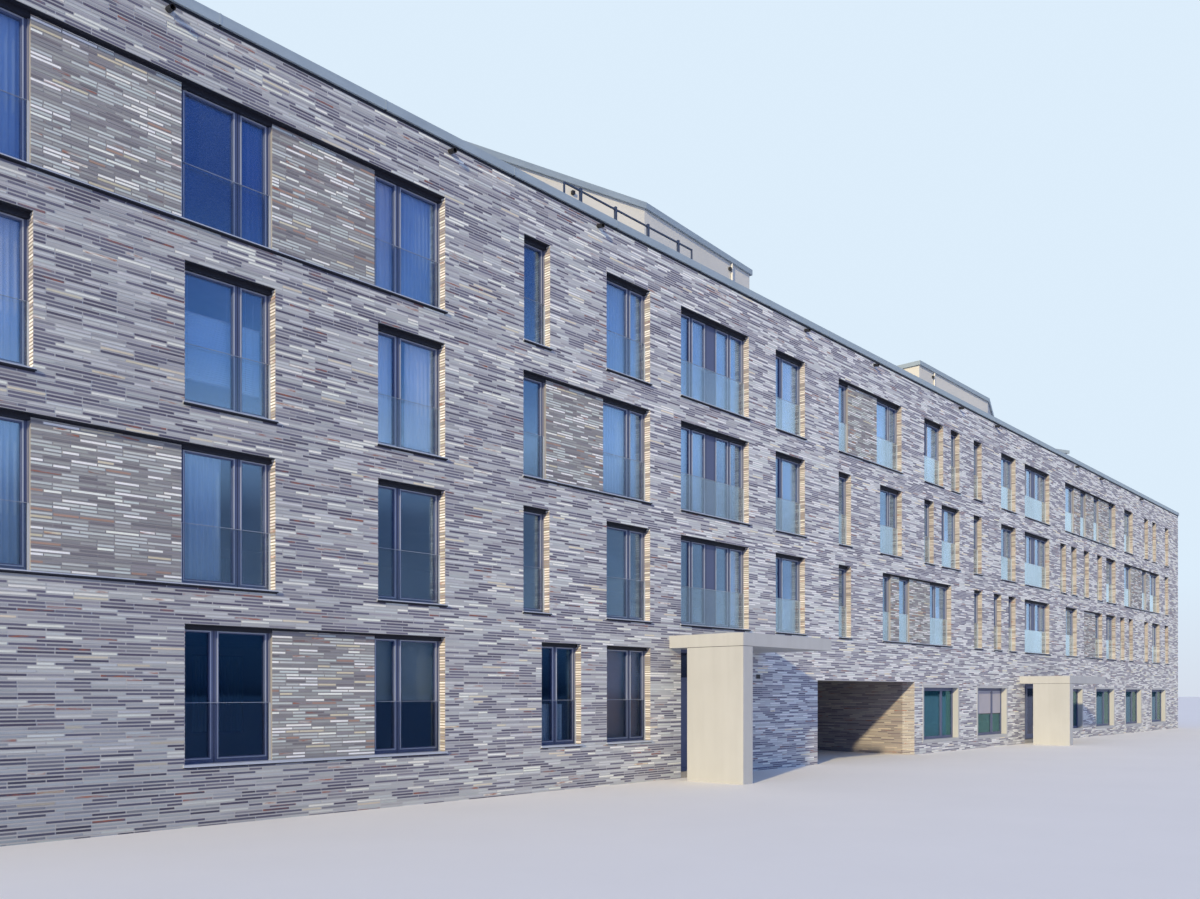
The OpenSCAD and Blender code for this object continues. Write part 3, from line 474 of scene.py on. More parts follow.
def box_piece(name, rows_by_side, material, faces=tuple(FACES), tints=None):
    """A piece of boxes. rows_by_side gives each wall's rows; tints has one colour for each box."""
    points = np.concatenate([placed(np.array(rows, float)[:, CORNERS], side)
                             for side, rows in rows_by_side.items() if len(rows)])
    quads = np.array([FACES[face] for face in faces])
    indices = np.arange(len(points))[:, None, None] * len(CORNERS) + quads
    if tints is not None:
        tints = np.repeat(tints, len(faces), 0)
    return mesh_piece(name, points.reshape(-1, 3), indices.reshape(-1, 4), material, tints=tints)


# Brickwork: courses of slim bricks in wild bond, each brick a little out of the wall's face

COURSES_PER_STOREY = 53
COURSE = STOREY_H / COURSES_PER_STOREY
BED_JOINT, HEAD_JOINT = 12, 9
BRICK_MODULE = 62.5
START_MODULES = 4
WALL_LENGTHS, PANEL_LENGTHS = (4, 4, 4, 4, 4, 4, 3, 2), (2, 2, 3, 3, 4)
MODULE_PLAY = 3
SHORTEST = 50
THINNEST = 6
RELIEF = (1.0, 3.5)
CORNER_OUT = 4
REVEAL_RELIEF = (2.0, 4.5)
REVEAL_DEPTH = 84
REVEAL_MORTAR_T, REVEAL_MORTAR_OUT = 0.6, 0.4
FACADE_TINTS = ((srgb(198, 203, 211), 0.20), (srgb(180, 184, 193), 0.14), (srgb(159, 161, 174), 0.10),
                (srgb(138, 138, 153), 0.07), (srgb(110, 110, 132), 0.27), (srgb(92, 90, 112), 0.11),
                (srgb(230, 233, 232), 0.09), (srgb(211, 204, 191), 0.02))
REVEAL_TINTS = ((srgb(207, 205, 208), 0.42), (srgb(189, 189, 190), 0.26), (srgb(144, 142, 151), 0.20),
                (srgb(222, 224, 227), 0.12))
PANEL_TINTS = ((srgb(156, 160, 167), 0.20), (srgb(136, 137, 148), 0.18), (srgb(118, 117, 129), 0.12),
               (srgb(190, 199, 206), 0.26), (srgb(234, 242, 242), 0.16), (srgb(200, 195, 180), 0.04),
               (srgb(160, 136, 130), 0.04))
PASSAGE_TINTS = ((srgb(162, 152, 150), 0.40), (srgb(141, 131, 134), 0.25), (srgb(188, 177, 169), 0.20),
                 (srgb(118, 106, 116), 0.15))
TINT_PLAY, CHANNEL_PLAY = (0.93, 1.07), (0.98, 1.02)

# Places along a wall, or heights, and the tones of the bricks there. The front and its panels are
# paler to the right and the sides of the openings darker, painted light and shade along the wall; the
# ends and the walls' feet are darker too
FACADE_TONE = ((3000, 12500, 17000, BLOCK_L),
               ((0.97, 0.96, 0.91), (1.42, 1.39, 1.28), (1.44, 1.41, 1.30), (1.54, 1.46, 1.24)))
REAR_TONE = ([BLOCK_L - x for x in FACADE_TONE[0][::-1]], FACADE_TONE[1][::-1])
REVEAL_TONE = ((8000, 16000), ((1.24, 1.20, 1.18), (0.90, 0.87, 0.85)))
PANEL_TONE = ((5000, 14000), ((1.14, 1.11, 1.02), (1.30, 1.26, 1.14)))
END_TONE = ((0, BLOCK_D), (0.76, 0.76))
FOOT_TONE = ((0, 450), (0.86, 1.0))
# No brick is paler than this
PALEST = 0.92
# Painted shade: the foot of the wall is dimmer and bluer toward the front's left end
CORNER_ALONG, CORNER_UP = ((2000, 4800), (1.0, 0.0)), ((600, 1600), (1.0, 0.0))
CORNER_DIM = (0.36, 0.32, 0.23)
# Share of the bricks that have rust-brown patches from the kiln
RUSTY_SHARE = 0.06


def free_runs(x0, x1, low, high, holes):
    """(left, right, lower, upper edge) of what holes leave of one course."""
    near = [hole for hole in holes if hole[1] < high and hole[3] > low]
    edges = sorted({x0, x1, *[min(max(hole[i], x0), x1) for hole in near for i in (0, 2)]})
    runs = []
    for left, right in zip(edges, edges[1:]):
        middle, lower, upper = (left + right) / 2, low, high
        for hole_left, hole_low, hole_right, hole_high in near:
            if hole_left < middle < hole_right:
                lower, upper = (hole_high, upper) if hole_low <= lower else (lower, hole_low)
        if upper - lower < THINNEST:
            continue
        if runs and runs[-1][1] == left and runs[-1][2:] == (lower, upper):
            left = runs.pop()[0]
        runs.append((left, right, lower, upper))
    return runs


def bricks(x0, x1, z0, z1, holes, face=0.0, lengths=WALL_LENGTHS):
    """Rows of the bricks of a wall face that stands at y = face."""
    rows = []
    first = math.floor((z0 - FIRST_SILL_Z) / COURSE)
    last = math.ceil((z1 - FIRST_SILL_Z) / COURSE)
    for course in range(first, last):
        bottom = FIRST_SILL_Z + course * COURSE + BED_JOINT / 2
        low, high = max(bottom, z0), min(bottom + COURSE - BED_JOINT, z1)
        if high - low < THINNEST:
            continue
        for left, right, lower, upper in free_runs(x0, x1, low, high, holes):
            x = left
            step = math.floor(left / BRICK_MODULE) - rng.integers(0, START_MODULES)
            while x < right:
                step += lengths[rng.integers(len(lengths))]
                end = step * BRICK_MODULE + rng.uniform(-MODULE_PLAY, MODULE_PLAY)
                if right - end < SHORTEST:
                    end = right
                elif end - x < SHORTEST:
                    continue
                relief = rng.uniform(*RELIEF)
                rows.append((x, face - relief, lower,
                             end if end == right else end - HEAD_JOINT, face, upper))
                x = end
    return rows


def reveal_bricks(side, storeys):
    """Rows of the brick ends in the sides of the window openings."""
    rows = []
    for storey in storeys:
        for group in GROUPS[side][storey]:
            parts = group_pieces(group)
            z0, z1 = open_z(storey) + SILL_T, open_z(storey) + WINDOW_H
            for edge, way in ((parts[0][1], 1), (parts[-1][2], -1)):
                for course in range(round((z1 - z0) / COURSE) + 1):
                    low = open_z(storey) + course * COURSE + BED_JOINT / 2
                    high = min(low + COURSE - BED_JOINT, z1)
                    low = max(low, z0)
                    if high - low < THINNEST:
                        continue
                    inner = edge + way * rng.uniform(*REVEAL_RELIEF)
                    rows.append((min(edge, inner), -RELIEF[0], low,
                                 max(edge, inner), REVEAL_DEPTH, high))
    return rows


def reveal_joint_rows(side):
    """Darker mortar behind the brick ends of the openings' sides."""
    rows = []
    for storey, groups in GROUPS[side].items():
        for parts in map(group_pieces, groups):
            z0, z1 = open_z(storey) + SILL_T, open_z(storey) + WINDOW_H
            left, right = parts[0][1], parts[-1][2]
            rows += [(left, -REVEAL_MORTAR_OUT, z0, left + REVEAL_MORTAR_T, REVEAL_DEPTH, z1),
                     (right - REVEAL_MORTAR_T, -REVEAL_MORTAR_OUT, z0, right, REVEAL_DEPTH, z1)]
    return rows


def picked_tints(table, count):
    """A colour for each brick, drawn by weight and varied a little."""
    colours = np.array([colour for colour, _ in table])
    weights = np.array([weight for _, weight in table])
    picked = colours[rng.choice(len(colours), count, p=weights / weights.sum())].copy()
    picked[:, :3] *= rng.uniform(*TINT_PLAY, (count, 1)) * rng.uniform(*CHANNEL_PLAY, (count, 3))
    picked[:, 3] = rng.random(count) < RUSTY_SHARE
    return picked


def tone_at(at, places, tones):
    """Tones between those given for some places, each one number or one for each channel."""
    channels = np.array(tones, float).reshape(len(places), -1).T
    return np.stack([np.interp(at, places, channel) for channel in channels], -1)


def brick_piece(name, rows_by_side, table=FACADE_TINTS, tone=None, near_corner=False):
    """A piece of bricks. tone has places along the wall and the bricks' tones there; on the front, the
    rear, the panels and the openings' sides they paint light and shade along the wall.

    near_corner paints shade on the bricks near the foot of the wall's left end.
    """
    rows = np.concatenate([np.array(rows, float) for rows in rows_by_side.values() if len(rows)])
    tints = picked_tints(table, len(rows))
    if tone:
        # Painted light and shade along the wall, times the darker foot
        tints[:, :3] *= tone_at((rows[:, 0] + rows[:, 3]) / 2, *tone) * tone_at(rows[:, 2], *FOOT_TONE)
    if near_corner:
        # Painted shade, dimmer and bluer toward the foot of the front's left end
        corner = np.interp(rows[:, 0], *CORNER_ALONG) * np.interp(rows[:, 2], *CORNER_UP)
        tints[:, :3] *= 1 - corner[:, None] * np.array(CORNER_DIM)
    tints[:, :3] = np.minimum(tints[:, :3], PALEST)
    box_piece(name, rows_by_side, brick, OUTER, tints)


def window_holes(side, storey):
    """(left, lower, right, upper edge) of each group of openings of a storey."""
    return [(parts[0][1], open_z(storey), parts[-1][2], open_z(storey) + WINDOW_H)
            for parts in map(group_pieces, GROUPS[side][storey])]


ground_holes = [(PASSAGE_X, 0, PASSAGE_END, PASSAGE_H)]
ground_holes += [(x, 0, x + WIDE_W, top) for x, top in ENTRANCES]
ground_holes += [(x, SHOP_SILL_Z, x + SHOP_W, SHOP_HEAD_Z) for x in SHOP_X]
rear_ground_holes = [(BLOCK_L - PASSAGE_END, 0, BLOCK_L - PASSAGE_X, PASSAGE_H)]
for storey in range(1, TOP_STOREY + 1):
    bottom = BASE_Z + (storey - 2) * STOREY_H if storey > 1 else 0
    top = WALL_TOP if storey == TOP_STOREY else BASE_Z + (storey - 1) * STOREY_H
    for side, more in (("front", ground_holes), ("rear", rear_ground_holes)):
        holes = window_holes(side, storey) + (more if storey == 1 else [])
        rows = bricks(-CORNER_OUT, BLOCK_L + CORNER_OUT, bottom, top, holes)
        front = side == "front"
        brick_piece(f"bricks_{side}_{storey}", {side: rows},
                    tone=FACADE_TONE if front else REAR_TONE, near_corner=front)
for side in ("left", "right"):
    holes = [hole for storey in ENDS for hole in window_holes(side, storey)]
    brick_piece(f"bricks_{side}", {side: bricks(0, BLOCK_D, 0, WALL_TOP, holes)}, tone=END_TONE)
for side in GROUPS:
    brick_piece(f"bricks_reveals_{side}", {side: reveal_bricks(side, GROUPS[side])}, REVEAL_TINTS,
                tone=REVEAL_TONE)
box_piece("reveal_joints", {side: reveal_joint_rows(side) for side in GROUPS},
          reveal_mortar)
brick_piece("bricks_passage", {side: bricks(0, BLOCK_D, 0, PASSAGE_H, [])
                               for side in ("passage_left", "passage_right")}, PASSAGE_TINTS)
panel_rows = [row for storey, groups in FRONT.items() for group in groups
              for kind, x0, x1 in group_pieces(group) if not isinstance(kind, str)
              for row in bricks(x0, x1, open_z(storey) + SILL_T, open_z(storey) + WINDOW_H, [],
                                PANEL_RECESS, PANEL_LENGTHS)]
brick_piece("bricks_panels", {"front": panel_rows}, PANEL_TINTS, PANEL_TONE)

# Fine parts of the windows: beads around the panes, gaps between the sashes, guides and boxes of the
# blinds, dark linings under the heads that are partly painted shade, a painted shadow band along the
# top of the panels, painted shadows under the sills and bright edges on the guards

BEAD_W, BEAD_OUT, BEAD_IN, BEAD_OFF = 9, 6, FRAME_T / 3, 8
SEAM_GAP_W, SEAM_GAP_OUT = 5, 1
GUIDE_W, GUIDE_D = 10, 16
# The band along the top of the panels is a painted shadow
LINING_T, BOX_H, BOX_D, SHADE_BAND_H, SHADE_BAND_OUT = 5, 40, 45, 20, 1
# Sizes of the painted shadow under the sills and the painted shade on their lower edge
SILL_SHADOW_H, SILL_SHADOW_D, SILL_EDGE_SHADE_H, SILL_EDGE_SHADE_OUT = 8, 16, 10, 1
EDGE_H, EDGE_OUT = 3, 1


def bead_rows(side):
    """Light beads of the sashes, a little outside the panes."""
    rows = []
    y0, y1 = FRAME_RECESS - BEAD_OUT, FRAME_RECESS + BEAD_IN
    for _, kind, x0, x1, z0, z1 in windows(side):
        low, high = z0 + FRAME_W - BEAD_OFF, z1 - FRAME_TOP_H + BEAD_OFF
        for pane in panes(kind, x0, x1):
            left, right = pane[0] - BEAD_OFF, pane[1] + BEAD_OFF
            rows += [(left - BEAD_W, y0, low - BEAD_W, left, y1, high + BEAD_W),
                     (right, y0, low - BEAD_W, right + BEAD_W, y1, high + BEAD_W),
                     (left, y0, low - BEAD_W, right, y1, low),
                     (left, y0, high, right, y1, high + BEAD_W)]
    return rows


def sash_gap_rows(side):
    """Dark gaps between two sashes, and beside a metal panel between two pairs."""
    rows = []
    y0 = FRAME_RECESS - SEAM_GAP_OUT
    for _, kind, x0, x1, z0, z1 in windows(side):
        lights = panes(kind, x0, x1)
        for (_, left), (right, _) in zip(lights, lights[1:]):
            panel_between = right - left > 2 * FRAME_W
            middles = (left + FRAME_W, right - FRAME_W) if panel_between else ((left + right) / 2,)
            rows += [(x - SEAM_GAP_W / 2, y0, z0, x + SEAM_GAP_W / 2, FRAME_RECESS, z1 - BOX_H)
                     for x in middles]
    return rows


def guide_rows(side):
    """Upright guides of the blinds in the corners between the window frames and the brick."""
    rows = []
    for _, _, x0, x1, z0, z1 in windows(side):
        rows += [(x0, FRAME_RECESS - GUIDE_D, z0, x0 + GUIDE_W, FRAME_RECESS, z1),
                 (x1 - GUIDE_W, FRAME_RECESS - GUIDE_D, z0, x1, FRAME_RECESS, z1)]
    return rows


def lining_and_shade_rows(side):
    """Dark lining under the heads, partly a real lining and partly painted shade, the blind boxes, and
    a painted shadow band along the top of the panels.
    """
    rows = []
    for storey, groups in GROUPS[side].items():
        top = open_z(storey) + WINDOW_H
        for group in groups:
            for kind, x0, x1 in group_pieces(group):
                if isinstance(kind, str):
                    # Lining under the head, partly painted shade, and the blind box
                    rows += [(x0, 0, top - LINING_T, x1, FRAME_RECESS, top),
                             (x0, FRAME_RECESS - BOX_D, top - BOX_H, x1, FRAME_RECESS,
                              top - LINING_T)]
                else:
                    # Lining under the head, and a painted shadow band along the panel's top
                    rows += [(x0, 0, top - LINING_T, x1, PANEL_RECESS, top),
                             (x0, PANEL_RECESS - RELIEF[1] - SHADE_BAND_OUT, top - SHADE_BAND_H, x1,
                              PANEL_RECESS, top - LINING_T)]
    return rows


def sill_shadow_rows(side):
    """Painted shadow under each sill; above the ground storey it also paints shade on the sill's lower
    edge.
    """
    rows = []
    for storey, groups in GROUPS[side].items():
        z = open_z(storey)
        for parts in map(group_pieces, groups):
            left, right = parts[0][1] - SILL_SIDE, parts[-1][2] + SILL_SIDE
            # Painted shadow under the sill
            rows.append((left + SILL_SIDE / 2, -SILL_SHADOW_D, z - SILL_SHADOW_H, right - SILL_SIDE / 2, 0, z))
            if storey > 1:
                # Painted shade over the sill's lower edge
                rows.append((left, -SILL_OUT - SILL_EDGE_SHADE_OUT, z - SILL_EDGE_SHADE_OUT, right, -SILL_SHADOW_D, z + SILL_EDGE_SHADE_H))
    return rows


def guard_edge_rows(side):
    """Bright upper edges of the glass guards."""
    return [(x0 + HOLDER_W, GUARD_Y - EDGE_OUT, z0 + GUARD_H,
             x1 - HOLDER_W, GUARD_Y + GUARD_T + EDGE_OUT, z0 + GUARD_H + EDGE_H)
            for _, _, x0, x1, z0, _ in windows(side)]


def on_all_sides(rows_of):
    """Rows of each side, from a function that makes those of one."""
    return {side: rows_of(side) for side in GROUPS}


box_piece("window_beads", on_all_sides(bead_rows), bead_metal)
box_piece("sash_gaps", on_all_sides(sash_gap_rows), lining_metal)
box_piece("blind_guides", on_all_sides(guide_rows), guide_metal)
box_piece("head_linings", on_all_sides(lining_and_shade_rows), lining_metal)
box_piece("sill_gaps", on_all_sides(sill_shadow_rows), lining_metal)
box_piece("guard_edges", on_all_sides(guard_edge_rows), bead_metal)

# Curtains and blinds in the windows' inner reveals, on a rail in each window

CLOTH_Y = 182
RAIL_H, RAIL_D = 10, 12
CLOTH_GAP = 6
FOLD_PITCH, FOLD_DEPTH, FOLD_POINTS, HANG_ROWS = 50, 13, 8, 5
# Depth of the folds at the top as a share of theirs at the foot, and how uneven their spacing is
FOLD_AT_TOP, FOLD_PLAY, PLAY_POINTS, PLAY_GROWTH = 0.7, 0.9, 9, 0.4
PLEAT_PITCH, PLEAT_DEPTH, PLEAT_COLUMNS = 18, 7, 3
PLEAT_BAR, WIRE, WIRE_IN = 10, 2, 60
ROLLER_POINTS, ROLLER_BOW, ROLLER_LEAN = 9, 3, 2
# Left of this place a window of the front without contents of its own stays empty. From there on,
# and on the other sides, such windows are given one of the choices, or none
CHOICES_FROM = 11000
# Contents of windows: from and to as parts of the width, top and bottom as parts of the height, the
# way of hanging and the cloth, for the front by storey and left edge
SHEER = [(0.0, 1.0, 0.0, 1.0, "drape", "pale_blue")]
WHITES = [(0.02, 0.46, 0.0, 1.0, "drape", "white"), (0.55, 0.98, 0.0, 1.0, "drape", "white")]
CONTENTS = {
    (4, 2950): [(0.72, 0.98, 0.0, 1.0, "drape", "blue")],
    (3, 2950): [(0.06, 0.64, 0.3, 0.78, "pleated", "pale_blue"),
                (0.7, 0.94, 0.3, 0.8, "pleated", "pale_blue")],
    (4, 4780): [(0.03, 0.36, 0.0, 1.0, "drape", "white"),
                (0.42, 0.97, 0.0, 1.0, "drape", "pale_blue")],
    (3, 4780): WHITES,
    (2, 2950): [(0.04, 0.5, 0.0, 1.0, "drape", "pale_blue")],
    (1, 4780): [(0.0, 1.0, 0.0, 0.55, "roller", "green")],
    (1, 6890): [(0.1, 0.8, 0.6, 1.0, "drape", "pale_blue")],
    (1, 7940): [(0.0, 1.0, 0.0, 1.0, "roller", "mauve")],
    (4, 7935): SHEER, (3, 7935): SHEER,
    (4, 9330): SHEER,
    (3, 9330): [(0.02, 0.46, 0.0, 1.0, "drape", "pale_blue"),
                (0.54, 0.98, 0.0, 1.0, "drape", "purple")],
    (2, 9330): [(0.02, 0.16, 0.0, 1.0, "drape", "white"), (0.82, 0.98, 0.0, 1.0, "drape", "white")],
    (4, 1060): SHEER, (3, 1060): WHITES, (2, 1060): SHEER,
    (4, 11510): WHITES, (3, 11510): SHEER,
    (2, 11510): [(0.3, 0.9, 0.0, 1.0, "drape", "blue")],
}
CHOICES = (None, None, WHITES, SHEER, [(0.0, 1.0, 0.0, 0.45, "roller", "grey")],
           [(0.0, 0.3, 0.0, 1.0, "drape", "white")], [(0.0, 1.0, 0.35, 1.0, "pleated", "white")])


def cloth_points(way, x0, x1, z0, z1, cloth_y=CLOTH_Y):
    """Grid of points of a hanging cloth, in rows from the top."""
    if way == "drape":
        columns = max(2, round((x1 - x0) / FOLD_PITCH)) * FOLD_POINTS + 1
        across, down = np.meshgrid(np.linspace(0, 1, columns), np.linspace(0, 1, HANG_ROWS))
        phase = rng.uniform(0, math.tau)
        plays = rng.uniform(-FOLD_PLAY, FOLD_PLAY, PLAY_POINTS)
        play = np.interp(across, np.linspace(0, 1, PLAY_POINTS), plays) * (1 + PLAY_GROWTH * down)
        turns = math.tau * (columns - 1) / FOLD_POINTS
        depth = FOLD_DEPTH * (FOLD_AT_TOP + (1 - FOLD_AT_TOP) * down)
        y = depth * np.sin(turns * across + phase + play)
    elif way == "pleated":
        rows = round((z1 - z0) / PLEAT_PITCH) * 2 + 1
        across, down = np.meshgrid(np.linspace(0, 1, PLEAT_COLUMNS), np.linspace(0, 1, rows))
        y = PLEAT_DEPTH * (np.arange(rows) % 2)[:, None] + 0 * across
    else:
        across, down = np.meshgrid(*[np.linspace(0, 1, ROLLER_POINTS)] * 2)
        bow = np.sin(math.pi * down) * np.cos(math.pi * (across - 0.5))
        y = ROLLER_BOW * bow + ROLLER_LEAN * down
    return np.stack([x0 + (x1 - x0) * across, cloth_y + y, z1 - (z1 - z0) * down], -1)


def hang(name, side, points, cloth):
    """One sheet of cloth from its grid of points."""
    rows, columns = points.shape[:2]
    place = placed(points, side)
    first = (np.arange(rows - 1)[:, None] * columns + np.arange(columns - 1)).ravel()
    faces = np.stack([first, first + columns, first + columns + 1, first + 1], -1)
    obj = mesh_piece(name, place.reshape(-1, 3), faces, cloths[cloth], smooth=columns > PLEAT_COLUMNS)


rails, pleat_bars = {side: [] for side in GROUPS}, {side: [] for side in GROUPS}
hangings = []
for side in GROUPS:
    for storey, kind, x0, x1, z0, z1 in windows(side):
        known = CONTENTS.get((storey, x0)) if side == "front" else None
        drawn = CHOICES[rng.integers(len(CHOICES))]
        contents = known or (None if side == "front" and x0 < CHOICES_FROM else drawn)
        if not contents:
            continue
        rails[side].append((x0, CLOTH_Y - RAIL_D / 2, z1 - RAIL_H, x1, CLOTH_Y + RAIL_D / 2, z1))
        top, bottom = z1 - RAIL_H, z0 + CLOTH_GAP
        for part, (from_left, to_right, from_top, to_bottom, way, cloth) in enumerate(contents):
            left = max(x0 + (x1 - x0) * from_left, x0 + CLOTH_GAP)
            right = min(x0 + (x1 - x0) * to_right, x1 - CLOTH_GAP)
            high, low = (top - (top - bottom) * share for share in (from_top, to_bottom))
            points = cloth_points(way, left, right, low, high)
            if way == "pleated":
                pleat_bars[side] += [(left, CLOTH_Y - PLEAT_BAR / 2, z, right, CLOTH_Y + PLEAT_BAR / 2,
                                      z + PLEAT_BAR) for z in (high, low - PLEAT_BAR)]
                pleat_bars[side] += [(x, CLOTH_Y - WIRE / 2, low, x + WIRE, CLOTH_Y + WIRE / 2, top)
                                     for x in (left + WIRE_IN, right - WIRE_IN - WIRE)]
            hangings.append((f"cloth_{side}_{storey}_{round(x0)}_{part}", side, points, cloth))
box_piece("curtain_rails", rails, bead_metal)
box_piece("pleat_bars", pleat_bars, bead_metal)
for name, side, points, cloth in hangings:
    hang(name, side, points, cloth)

# Cloths of the shop windows: left edge of the opening, light, lower edge as a part of the height,
# distance behind the wall's face and the cloth
SHOP_CLOTHS = ((18630, 0, 0.46, 104, "violet"), (18630, 1, 0.46, 104, "violet"),
               (16240, 1, 0.0, 156, "teal"), (18630, 1, 0.0, 156, "teal"))
SHOP_RAIL_D = 8
BLIND_BAR_H, BLIND_BAR_FRONT, BLIND_BAR_BACK = 12, 3, 5
shop_rails, shop_bars = [], []
shop_lights = ((SURROUND_W + FRAME_W, SHOP_W - SURROUND_W - FRAME_W - POST_W - SHOP_LIGHT_W),
               (SHOP_W - SURROUND_W - FRAME_W - SHOP_LIGHT_W, SHOP_W - SURROUND_W - FRAME_W))
for number, (x, light_number, lowest, cloth_y, cloth) in enumerate(SHOP_CLOTHS):
    left, right = (x + edge for edge in shop_lights[light_number])
    bottom = SHOP_SILL_Z + SURROUND_W + FRAME_W + CLOTH_GAP
    top = SHOP_HEAD_Z - SURROUND_W - FRAME_TOP_H - RAIL_H
    bottom += (top - bottom) * lowest
    shop_rails.append((left, cloth_y - SHOP_RAIL_D / 2, top, right, cloth_y + SHOP_RAIL_D / 2,
                       top + RAIL_H))
    if lowest:
        shop_bars.append((left, cloth_y - BLIND_BAR_FRONT, bottom - BLIND_BAR_H,
                          right, cloth_y + BLIND_BAR_BACK, bottom))
    points = cloth_points("roller", left + CLOTH_GAP, right - CLOTH_GAP, bottom, top, cloth_y)
    hang(f"cloth_shop_{number}", "front", points, cloth)
box_piece("blind_rails", {"front": shop_rails}, bead_metal)
box_piece("blind_bars", {"front": shop_bars}, dark_metal)

# Coping joints, a painted shadow line between the top course and the coping, and the joints between
# the canopies and their fins

SEAM_PITCH, SEAM_W, SEAM_T = 1620, 16, 2
SHADOW_LOW, SHADOW_OUT = 12, 6
FIN_JOINT_H, FIN_JOINT_OUT = 5, 1
LENGTHS = {"front": BLOCK_L, "rear": BLOCK_L, "left": BLOCK_D, "right": BLOCK_D}


def coping_joint_rows(length):
    """Raised joints of the coping, evenly along a side."""
    count = round(length / SEAM_PITCH)
    places = [length * i / count for i in range(1, count)]
    return [(x - SEAM_W / 2, -COPING_OUT - SEAM_T, COPING_Z,
             x + SEAM_W / 2, WALL_T, COPING_Z + COPING_H + SEAM_T) for x in places]


box_piece("coping_joints", {side: coping_joint_rows(length) for side, length in LENGTHS.items()},
          coping_metal)
# Painted shadow line under the coping
box_piece("coping_shadow", {
    side: [(-SHADOW_OUT, -SHADOW_OUT, WALL_TOP - SHADOW_LOW, length + SHADOW_OUT, 0, COPING_Z)]
    for side, length in LENGTHS.items()}, lining_metal)
box_piece("canopy_joints", {"front": [
    (x - FIN_JOINT_OUT, -depth - FIN_JOINT_OUT, z - FIN_JOINT_H,
     x + FIN_T + FIN_JOINT_OUT, -FIN_GAP + FIN_JOINT_OUT, z)
    for x, depth, z in CANOPIES]}, lining_metal)

# Camera of the photograph

CAMERA_M = (-17.65, -11.09, 1.075)
CAMERA_TURN = math.atan2(0.734, 0.679)
CAMERA_LENS, SENSOR_W, CAMERA_SHIFT = 30, 36, 0.203
FARTHEST_M = 1000
camera_data = bpy.data.cameras.new("camera")
camera_data.lens = CAMERA_LENS
camera_data.sensor_width = SENSOR_W
camera_data.shift_y = CAMERA_SHIFT
camera_data.clip_end = FARTHEST_M
camera = bpy.data.objects.new("camera", camera_data)
camera.location = CAMERA_M
camera.rotation_euler = (math.pi / 2, 0, -CAMERA_TURN)
bpy.context.scene.collection.objects.link(camera)
bpy.context.scene.camera = camera

# Floor, sky and sun

FLOOR_M = 600
bpy.ops.mesh.primitive_plane_add(size=FLOOR_M, location=(0, 0, 0))
floor = bpy.context.object
floor.name = "floor"
floor_look = Nodes("floor", roughness=0.95)
floor_look.to("Base Color", floor_look.shaded(
    srgb(246, 242, 236), floor_look.spread(floor_look.noise(0.6), 0.98, 1.01)))
floor.data.materials.append(floor_look.material)

# What lights the block in the shade
AMBIENT = (0.25, 0.38, 0.72, 1)
# Metal and glass mirror a dark lower sky with a greyer band, pale haze above it and then blue
MIRRORED = ((0.0, (0.05, 0.08, 0.13)), (0.06, (0.20, 0.26, 0.33)), (0.17, (0.15, 0.20, 0.28)),
            (0.24, (0.70, 0.90, 1.12)), (0.30, (0.26, 0.48, 0.85)), (0.42, (0.08, 0.17, 0.50)))
# To the right of the block the mirrored haze reaches lower and is paler. The ranges have the part
# of the direction where it begins, the part where it is full, and how full
HAZE = (0.90, 1.04, 1.14, 1)
HAZE_ASIDE, HAZE_ABOVE = (0.62, 0.92, 0.85), (0.005, 0.04, 1.0)
# The backdrop meets the floor in much the floor's own tone
BACKDROP = ((0.0, (0.68, 0.74, 0.84)), (0.1, (0.72, 0.85, 0.97)))

world = bpy.data.worlds.new("sky")
bpy.context.scene.world = world
world.use_nodes = True
tree = world.node_tree


def world_node(kind, *sources):
    """Node of the sky whose first inputs are linked to sources."""
    made = tree.nodes.new("ShaderNode" + kind)
    for number, source in enumerate(sources):
        tree.links.new(source, made.inputs[number])
    return made


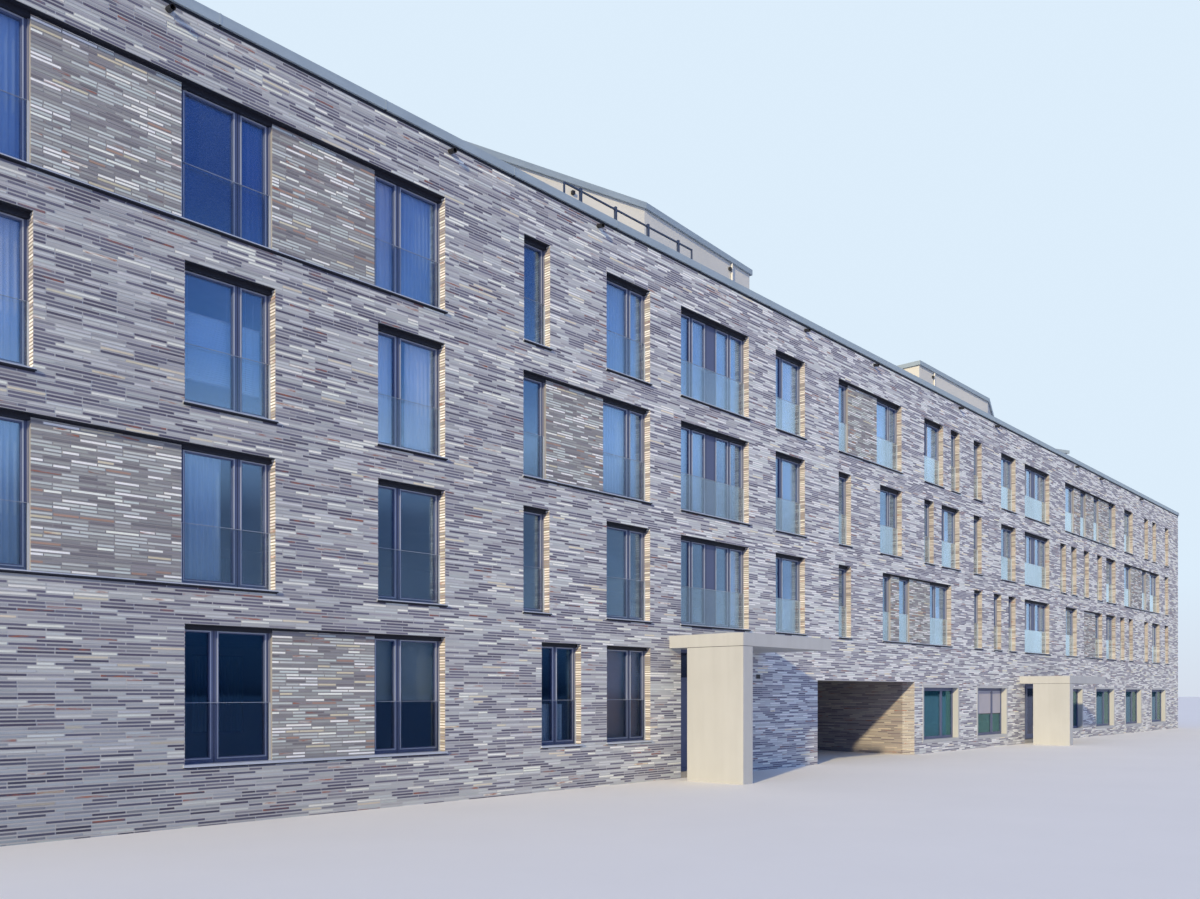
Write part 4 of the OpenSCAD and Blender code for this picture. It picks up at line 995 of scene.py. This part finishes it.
def sky_ramp(height, places):
    """Colours of the sky by height."""
    ramp = world_node("ValToRGB", height)
    stops = ramp.color_ramp.elements
    for stop, (place, colour) in ((stops[0], places[0]), (stops[1], places[-1])):
        stop.position = place
        stop.color = (*colour, 1)
    for place, colour in places[1:-1]:
        stops.new(place).color = (*colour, 1)
    return ramp.outputs["Color"]


def haze_range(value, begins, full, most):
    """How hazy the sky is along one axis of the direction."""
    made = world_node("MapRange", value)
    made.inputs["From Min"].default_value = begins
    made.inputs["From Max"].default_value = full
    made.inputs["To Max"].default_value = most
    return made.outputs[0]


light = tree.nodes["Background"]
light.inputs["Color"].default_value = AMBIENT
light.inputs["Strength"].default_value = 1.0
direction = world_node("SeparateXYZ", world_node("TexCoord").outputs["Generated"])
share = world_node("Math", haze_range(direction.outputs["X"], *HAZE_ASIDE),
                   haze_range(direction.outputs["Z"], *HAZE_ABOVE))
share.operation = "MULTIPLY"
hazy = world_node("MixRGB", share.outputs[0], sky_ramp(direction.outputs["Z"], MIRRORED))
hazy.inputs["Color2"].default_value = HAZE
mirrored = world_node("Background", hazy.outputs[0])
backdrop = world_node("Background", sky_ramp(direction.outputs["Z"], BACKDROP))
path = world_node("LightPath")
shiny = world_node("Math", path.outputs["Is Glossy Ray"], path.outputs["Is Transmission Ray"])
shiny.operation = "MAXIMUM"
first = world_node("MixShader", path.outputs["Is Camera Ray"], light.outputs[0], backdrop.outputs[0])
last = world_node("MixShader", shiny.outputs[0], first.outputs[0], mirrored.outputs[0])
tree.links.new(last.outputs[0], tree.nodes["World Output"].inputs["Surface"])

SUN_TRAVEL = (2.8, 1.0, -1.0)
# Light on a surface that faces the sun, as a share of full white
SUN_LEVEL = 1.15
SUN_COLOUR, SUN_WIDTH_DEG = (1.0, 0.83, 0.49), 2
sun_data = bpy.data.lights.new("sun", "SUN")
sun_data.energy = SUN_LEVEL * math.pi
sun_data.color = SUN_COLOUR
sun_data.angle = math.radians(SUN_WIDTH_DEG)
sun = bpy.data.objects.new("sun", sun_data)
sun.rotation_euler = Vector(SUN_TRAVEL).to_track_quat("-Z", "Y").to_euler()
bpy.context.scene.collection.objects.link(sun)
bpy.context.scene.view_settings.view_transform = "Standard"
